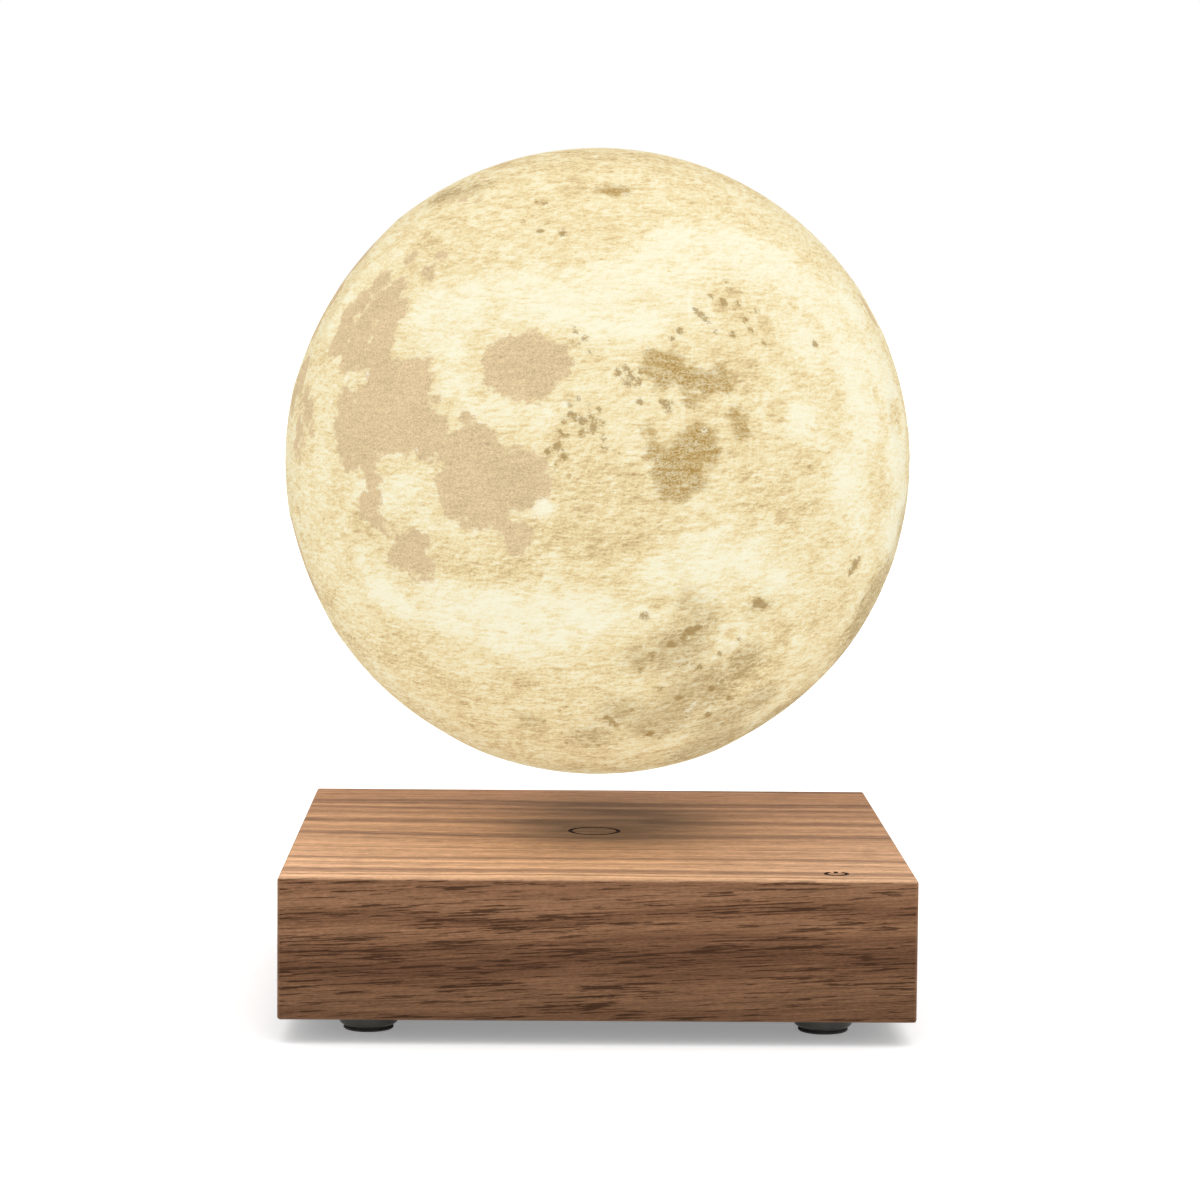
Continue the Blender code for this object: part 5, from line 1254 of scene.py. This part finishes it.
def make_screw(name, profile, cross_size, cross_low, x, y, body):
    steel = plain["screw_steel"]
    piece = piece_from(name + "_turned", turned(profile, 40), steel, body, name)
    for turn in (0, 90):
        bar = rotated(block(cross_size, cross_size * CROSS_SLOT, 1.0), turn, "Z")
        cut(piece, moved(bar, 0, 0, cross_low), steel)
    piece.data.transform(Matrix.Translation((x * MM, y * MM, 0)))
    shade_creased(piece.data)


COUNTERSUNK = ((0, 6.3), (2.25, 6.3), (2.4, 6.38), (1.3, 7.5), (1.3, 14.5), (0, 14.5))
PAN_LONG = (
    (0, 9.5), (1.5, 9.5), (1.5, 21.09), (2.8, 21.09), (2.8, 22.3), (2.4, 22.75), (1.6, 22.89), (0, 22.89))
PAN_SMALL = (
    (0, 64.47), (0.9, 64.47), (0.9, 69.47), (1.7, 69.47), (1.7, 70.3), (1.4, 70.6), (0, 70.67))
PLATE_SCREW_PLACE = 61.75
TRAY_SCREW_PLACE = 44.0


def make_screws():
    for corner, x, y in at_corners(PLATE_SCREW_PLACE):
        make_screw("plate_screw_" + corner, COUNTERSUNK, 2.6, 6.0, x, y, "base")
    for corner, x, y in at_corners(TRAY_SCREW_PLACE):
        make_screw("module_screw_" + corner, PAN_LONG, 3.2, 22.0, x, y, "base")
    for name, bearing in BOSSES.items():
        make_screw("led_screw_" + name, PAN_SMALL, 1.9, 70.0, *on_circle(BOSS_PLACE, bearing), "moon")


make_screws()

# %% [markdown]
# ## The inlet
#
# The low-voltage inlet is a black block on the board's edge, with a round socket and a pin in its
# middle. It is seen through the hole in the rear wall, so its socket is cut round and its mouth is
# chamfered, and the pin gets a rounded tip.

# %% Cut the socket and turn the pin
MOUTH_PROFILE = ((0, 57.4), (3.21, 57.4), (3.21, 65.7), (3.75, 66.3), (3.75, 67), (0, 67))
PIN_PROFILE = ((0, 55.9), (1, 55.9), (1, 64.3), (0.86, 64.62), (0.5, 64.78), (0, 64.8))


def make_inlet():
    black = plain["jack_black"]
    body = piece_from("inlet_socket", copied("dc_jack_body"), black, "base", "dc_jack_body")
    cut(body, pointed_back(turned(MOUTH_PROFILE, 64)), black)
    shade_creased(body.data)
    pin = pointed_back(turned(PIN_PROFILE, 32))
    piece_from("inlet_pin", pin, plain["pin_nickel"], "base", "dc_jack_pin")
    return body


inlet = make_inlet()
print("inlet socket:", len(inlet.data.polygons), "faces")

# %% [markdown]
# ## Wound coils
#
# Power goes through the air between two coils of enamelled wire: a flat spiral under the block's roof
# and two layers round the magnet's cup. A coil is one wire along one route, so each is a curve with a
# round section. The routes are those of the solids, with four times as many points.

# %% Wind the two power coils
WIRE = 1.0
BEVEL_STEPS = 3
LOOP_POINTS = 96
BEND_POINTS = 8
BEND = 1.1
SPIRAL_TURNS, SPIRAL_BORE, SPIRAL_PITCH, SPIRAL_Z = 6, 19.53, 1.445, 33.0
LAYER_TURNS, LAYER_RADIUS, LAYER_PITCH, LAYER_Z = 2.5, 22.5, 1.6, 59.54
BOARD_TOP = 13.1


def wire_piece(name, route, diameter, finish, body, stands_for):
    curve = bpy.data.curves.new(name, "CURVE")
    curve.dimensions = "3D"
    curve.bevel_depth = diameter / 2 * MM
    curve.bevel_resolution = BEVEL_STEPS
    curve.use_fill_caps = True
    spline = curve.splines.new("POLY")
    spline.points.add(len(route) - 1)
    for point, place in zip(spline.points, route):
        point.co = (*(place * MM), 1.0)
    curve.materials.append(finish)
    dress(in_scene(name, curve), body, stands_for)
    print(name, "wire:", round(sum((b - a).length for a, b in zip(route, route[1:]))), "mm")


def round_bend(point, bearing, lean, outward):
    """Turns a wire from its heading towards lean in a quarter circle."""
    heading = Vector((-math.sin(bearing), math.cos(bearing), 0))
    bend = []
    for step in range(1, BEND_POINTS + 1):
        angle = step * math.pi / 2 / BEND_POINTS
        bend.append(point + outward * heading * BEND * math.sin(angle)
                    + lean * BEND * (1 - math.cos(angle)))
    return bend


def flat_spiral_route():
    first = math.radians(45)
    spiral = []
    for index in range(SPIRAL_TURNS * LOOP_POINTS + 1):
        turn = index / LOOP_POINTS
        bearing, radius = first + math.tau * turn, SPIRAL_BORE + SPIRAL_PITCH * turn
        spiral.append(Vector((radius * math.cos(bearing), radius * math.sin(bearing), SPIRAL_Z)))
    down = Vector((0, 0, -1))
    inner, outer = round_bend(spiral[0], first, down, -1), round_bend(spiral[-1], first, down, 1)
    feet = [Vector((*bend[-1].xy, BOARD_TOP)) for bend in (inner, outer)]
    return [feet[0], *reversed(inner), *spiral, *outer, feet[1]]


def two_layer_route():
    layer, swap = round(LAYER_TURNS * LOOP_POINTS), LOOP_POINTS // 2
    points = []
    for index in range(2 * layer + swap + 1):
        down, up = min(index, layer) / LOOP_POINTS, max(index - layer - swap, 0) / LOOP_POINTS
        radius = LAYER_RADIUS - LAYER_PITCH * max(0, min(index - layer, swap)) / swap
        bearing = math.tau * index / LOOP_POINTS
        height = LAYER_Z + LAYER_PITCH * (LAYER_TURNS - down + up)
        points.append(Vector((radius * math.cos(bearing), radius * math.sin(bearing), height)))
    lift = Vector((0, 0, 1))
    start, end = round_bend(points[0], 0.0, lift, -1), round_bend(points[-1], bearing, lift, 1)
    tips = [Vector((*bend[-1].xy, BOSS_TOP)) for bend in (start, end)]
    return [tips[0], *reversed(start), *points, *end, tips[1]]


copper = plain["enamelled_copper"]
wire_piece("power_coil", flat_spiral_route(), WIRE, copper, "base", "transmit_coil")
wire_piece("pick_up_coil", two_layer_route(), WIRE, copper, "moon", "receive_coil")

# %% [markdown]
# The four steering magnets are wound with fine wire under amber tape. Its layers press through the tape
# as soft ridges, so the winding is turned from a profile with a row of shallow bulges. The lead of the
# touch switch is a plain round wire with an S-bend, and the foam disc over the moon's magnet has
# soft edges.

# %% Windings, touch lead and foam disc
STEERING_PLACE = 17.05
RIDGES = 13
LEAD_WIDTH = 1.4
LEAD_STEPS = 36


def winding_profile():
    low, high, bore, radius = 14.6, 29.8, 5.42, 10.95
    outside = []
    for step in range(RIDGES * 4 + 1):
        swell = abs(math.sin(math.pi * step / 4))
        outside.append((radius - 0.28 * (1 - swell), low + (high - low) * step / (RIDGES * 4)))
    return [(bore, low)] + outside + [(bore, high)]


def lead_route():
    start, end = Vector((42.1, -62.1, 32.7)), Vector((42.1, -52.5, 16.6))
    pull = Vector((0, 0, (start.z - end.z) / 2))
    knots = (start, start - pull, end + pull, end)
    route = []
    for step in range(LEAD_STEPS + 1):
        t = step / LEAD_STEPS
        weights = ((1 - t) ** 3, 3 * t * (1 - t) ** 2, 3 * t * t * (1 - t), t ** 3)
        route.append(sum((weight * knot for weight, knot in zip(weights, knots)), Vector((0, 0, 0))))
    return route


def make_small_works():
    for side, bearing in SIDES.items():
        x, y = (round(part, 6) for part in on_circle(STEERING_PLACE, bearing))
        winding = moved(turned(winding_profile(), 48, ring=True), x, y)
        piece_from("steering_winding_" + side, winding, plain["winding_tape"], "base",
                   "winding_" + side)
    grey = plain["lead_grey"]
    wire_piece("touch_switch_lead", lead_route(), LEAD_WIDTH, grey, "base", "touch_lead")
    disc = eased(rod(16, BOSS_TOP - 1.0, BOSS_TOP, 72), 0.3, 3)
    foam = piece_from("foam_disc", disc, plain["pad_foam"], "moon", "magnet_pad")


make_small_works()

# %% [markdown]
# ## Capacitors
#
# A can capacitor is drawn from aluminium and crimped near its foot on a rubber bung. Two stand on the
# main board beside the tray and one on the light board. They are turned, crimp and rolled top edge
# included.

# %% Turn the capacitors
CANS = (("left", "supply_capacitor_left", 3.1, "base"), ("right", "supply_capacitor_right", 3.1, "base"),
        ("receiver", "receiver_capacitor", 3.95, "moon"))


def can_profile(radius, low, high):
    crimp = low + 0.22 * (high - low)
    return [
        (0, low), (radius * 0.93, low), (radius, low + 0.3), (radius, crimp - 0.5), (radius * 0.9, crimp),
        (radius, crimp + 0.5), (radius, high - 0.5), (radius * 0.9, high), (radius * 0.8, high - 0.12),
        (0, high - 0.12),
    ]


def make_capacitors():
    for side, name, radius, body in CANS:
        low, high = (Vector(corner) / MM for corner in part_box(name))
        can = eased(turned(can_profile(radius, low.z, high.z), 48), 0.1)
        moved(can, (low.x + high.x) / 2, (low.y + high.y) / 2)
        piece_from("can_" + side, can, plain["can_aluminium"], body, name)
        print("can_" + side, "is", round(high.z - low.z, 2), "mm high")


make_capacitors()

# %% [markdown]
# ## Floor, backdrop and light
#
# The lamp stands on a plain white table. The floor catches the block's soft shadow. Seen by the camera
# it is lifted to white by a little emission of its own, so no extra light falls on the lamp. From below
# it is clear, so the underside can be looked at. Two wide suns, above and at the front right, and an even
# sky light the lamp softly from all round.

# %% Set the stage
WHITE = (1.0, 1.0, 1.0, 1.0)
TABLE_GREY = (0.74, 0.74, 0.74, 1.0)
TABLE_GLOW = 0.26
TABLE_HALF = 60.0
SKY_LIGHT = 0.78


def seen_directly(tree):
    """1 where the camera or a mirror looks, 0 where light only bounces."""
    path = put(tree, "LightPath").outputs
    return calc(tree, "MAXIMUM", path["Is Camera Ray"], path["Is Glossy Ray"])


def make_floor():
    finish, tree, shader, _ = new_finish("white_table", 0.9)
    seen = seen_directly(tree)
    feed(tree, shader, {
        "Base Color": mix(tree, seen, TABLE_GREY, WHITE),
        "Emission Color": WHITE,
        "Emission Strength": times(tree, seen, TABLE_GLOW),
    })
    from_below = put(tree, "NewGeometry").outputs["Backfacing"]
    clear = put(tree, "BsdfTransparent").outputs[0]
    shown = put(tree, "MixShader", {0: from_below, 1: tree.nodes["Principled BSDF"].outputs[0], 2: clear})
    feed(tree, tree.nodes["Material Output"].inputs, {"Surface": shown.outputs[0]})
    bm = bmesh.new()
    bmesh.ops.create_grid(bm, x_segments=1, y_segments=1, size=TABLE_HALF)
    in_scene("table_top", mesh_from("table_top", bm, finish))


def make_sky():
    world = bpy.data.worlds.new("white_room")
    world.use_nodes = True
    tree = world.node_tree
    feeds = {"Value": seen_directly(tree), "To Min": SKY_LIGHT, "To Max": 1.0}
    strength = put(tree, "MapRange", feeds).outputs["Result"]
    feed(tree, tree.nodes["Background"].inputs, {"Color": WHITE, "Strength": strength})
    bpy.context.scene.world = world


def make_sun(name, strength, width_deg, aim):
    data = bpy.data.lights.new(name, "SUN")
    data.energy = strength
    data.angle = math.radians(width_deg)
    sun = in_scene(name, data)
    sun.matrix_world = Vector(aim).to_track_quat("-Z", "Y").to_matrix().to_4x4()


make_floor()
make_sky()
make_sun("overhead_light", 1.0, 64, (-0.10, 0.15, -1.0))
make_sun("front_light", 0.25, 50, (-0.25, 0.85, -0.45))
bpy.context.scene.view_settings.view_transform = "Standard"
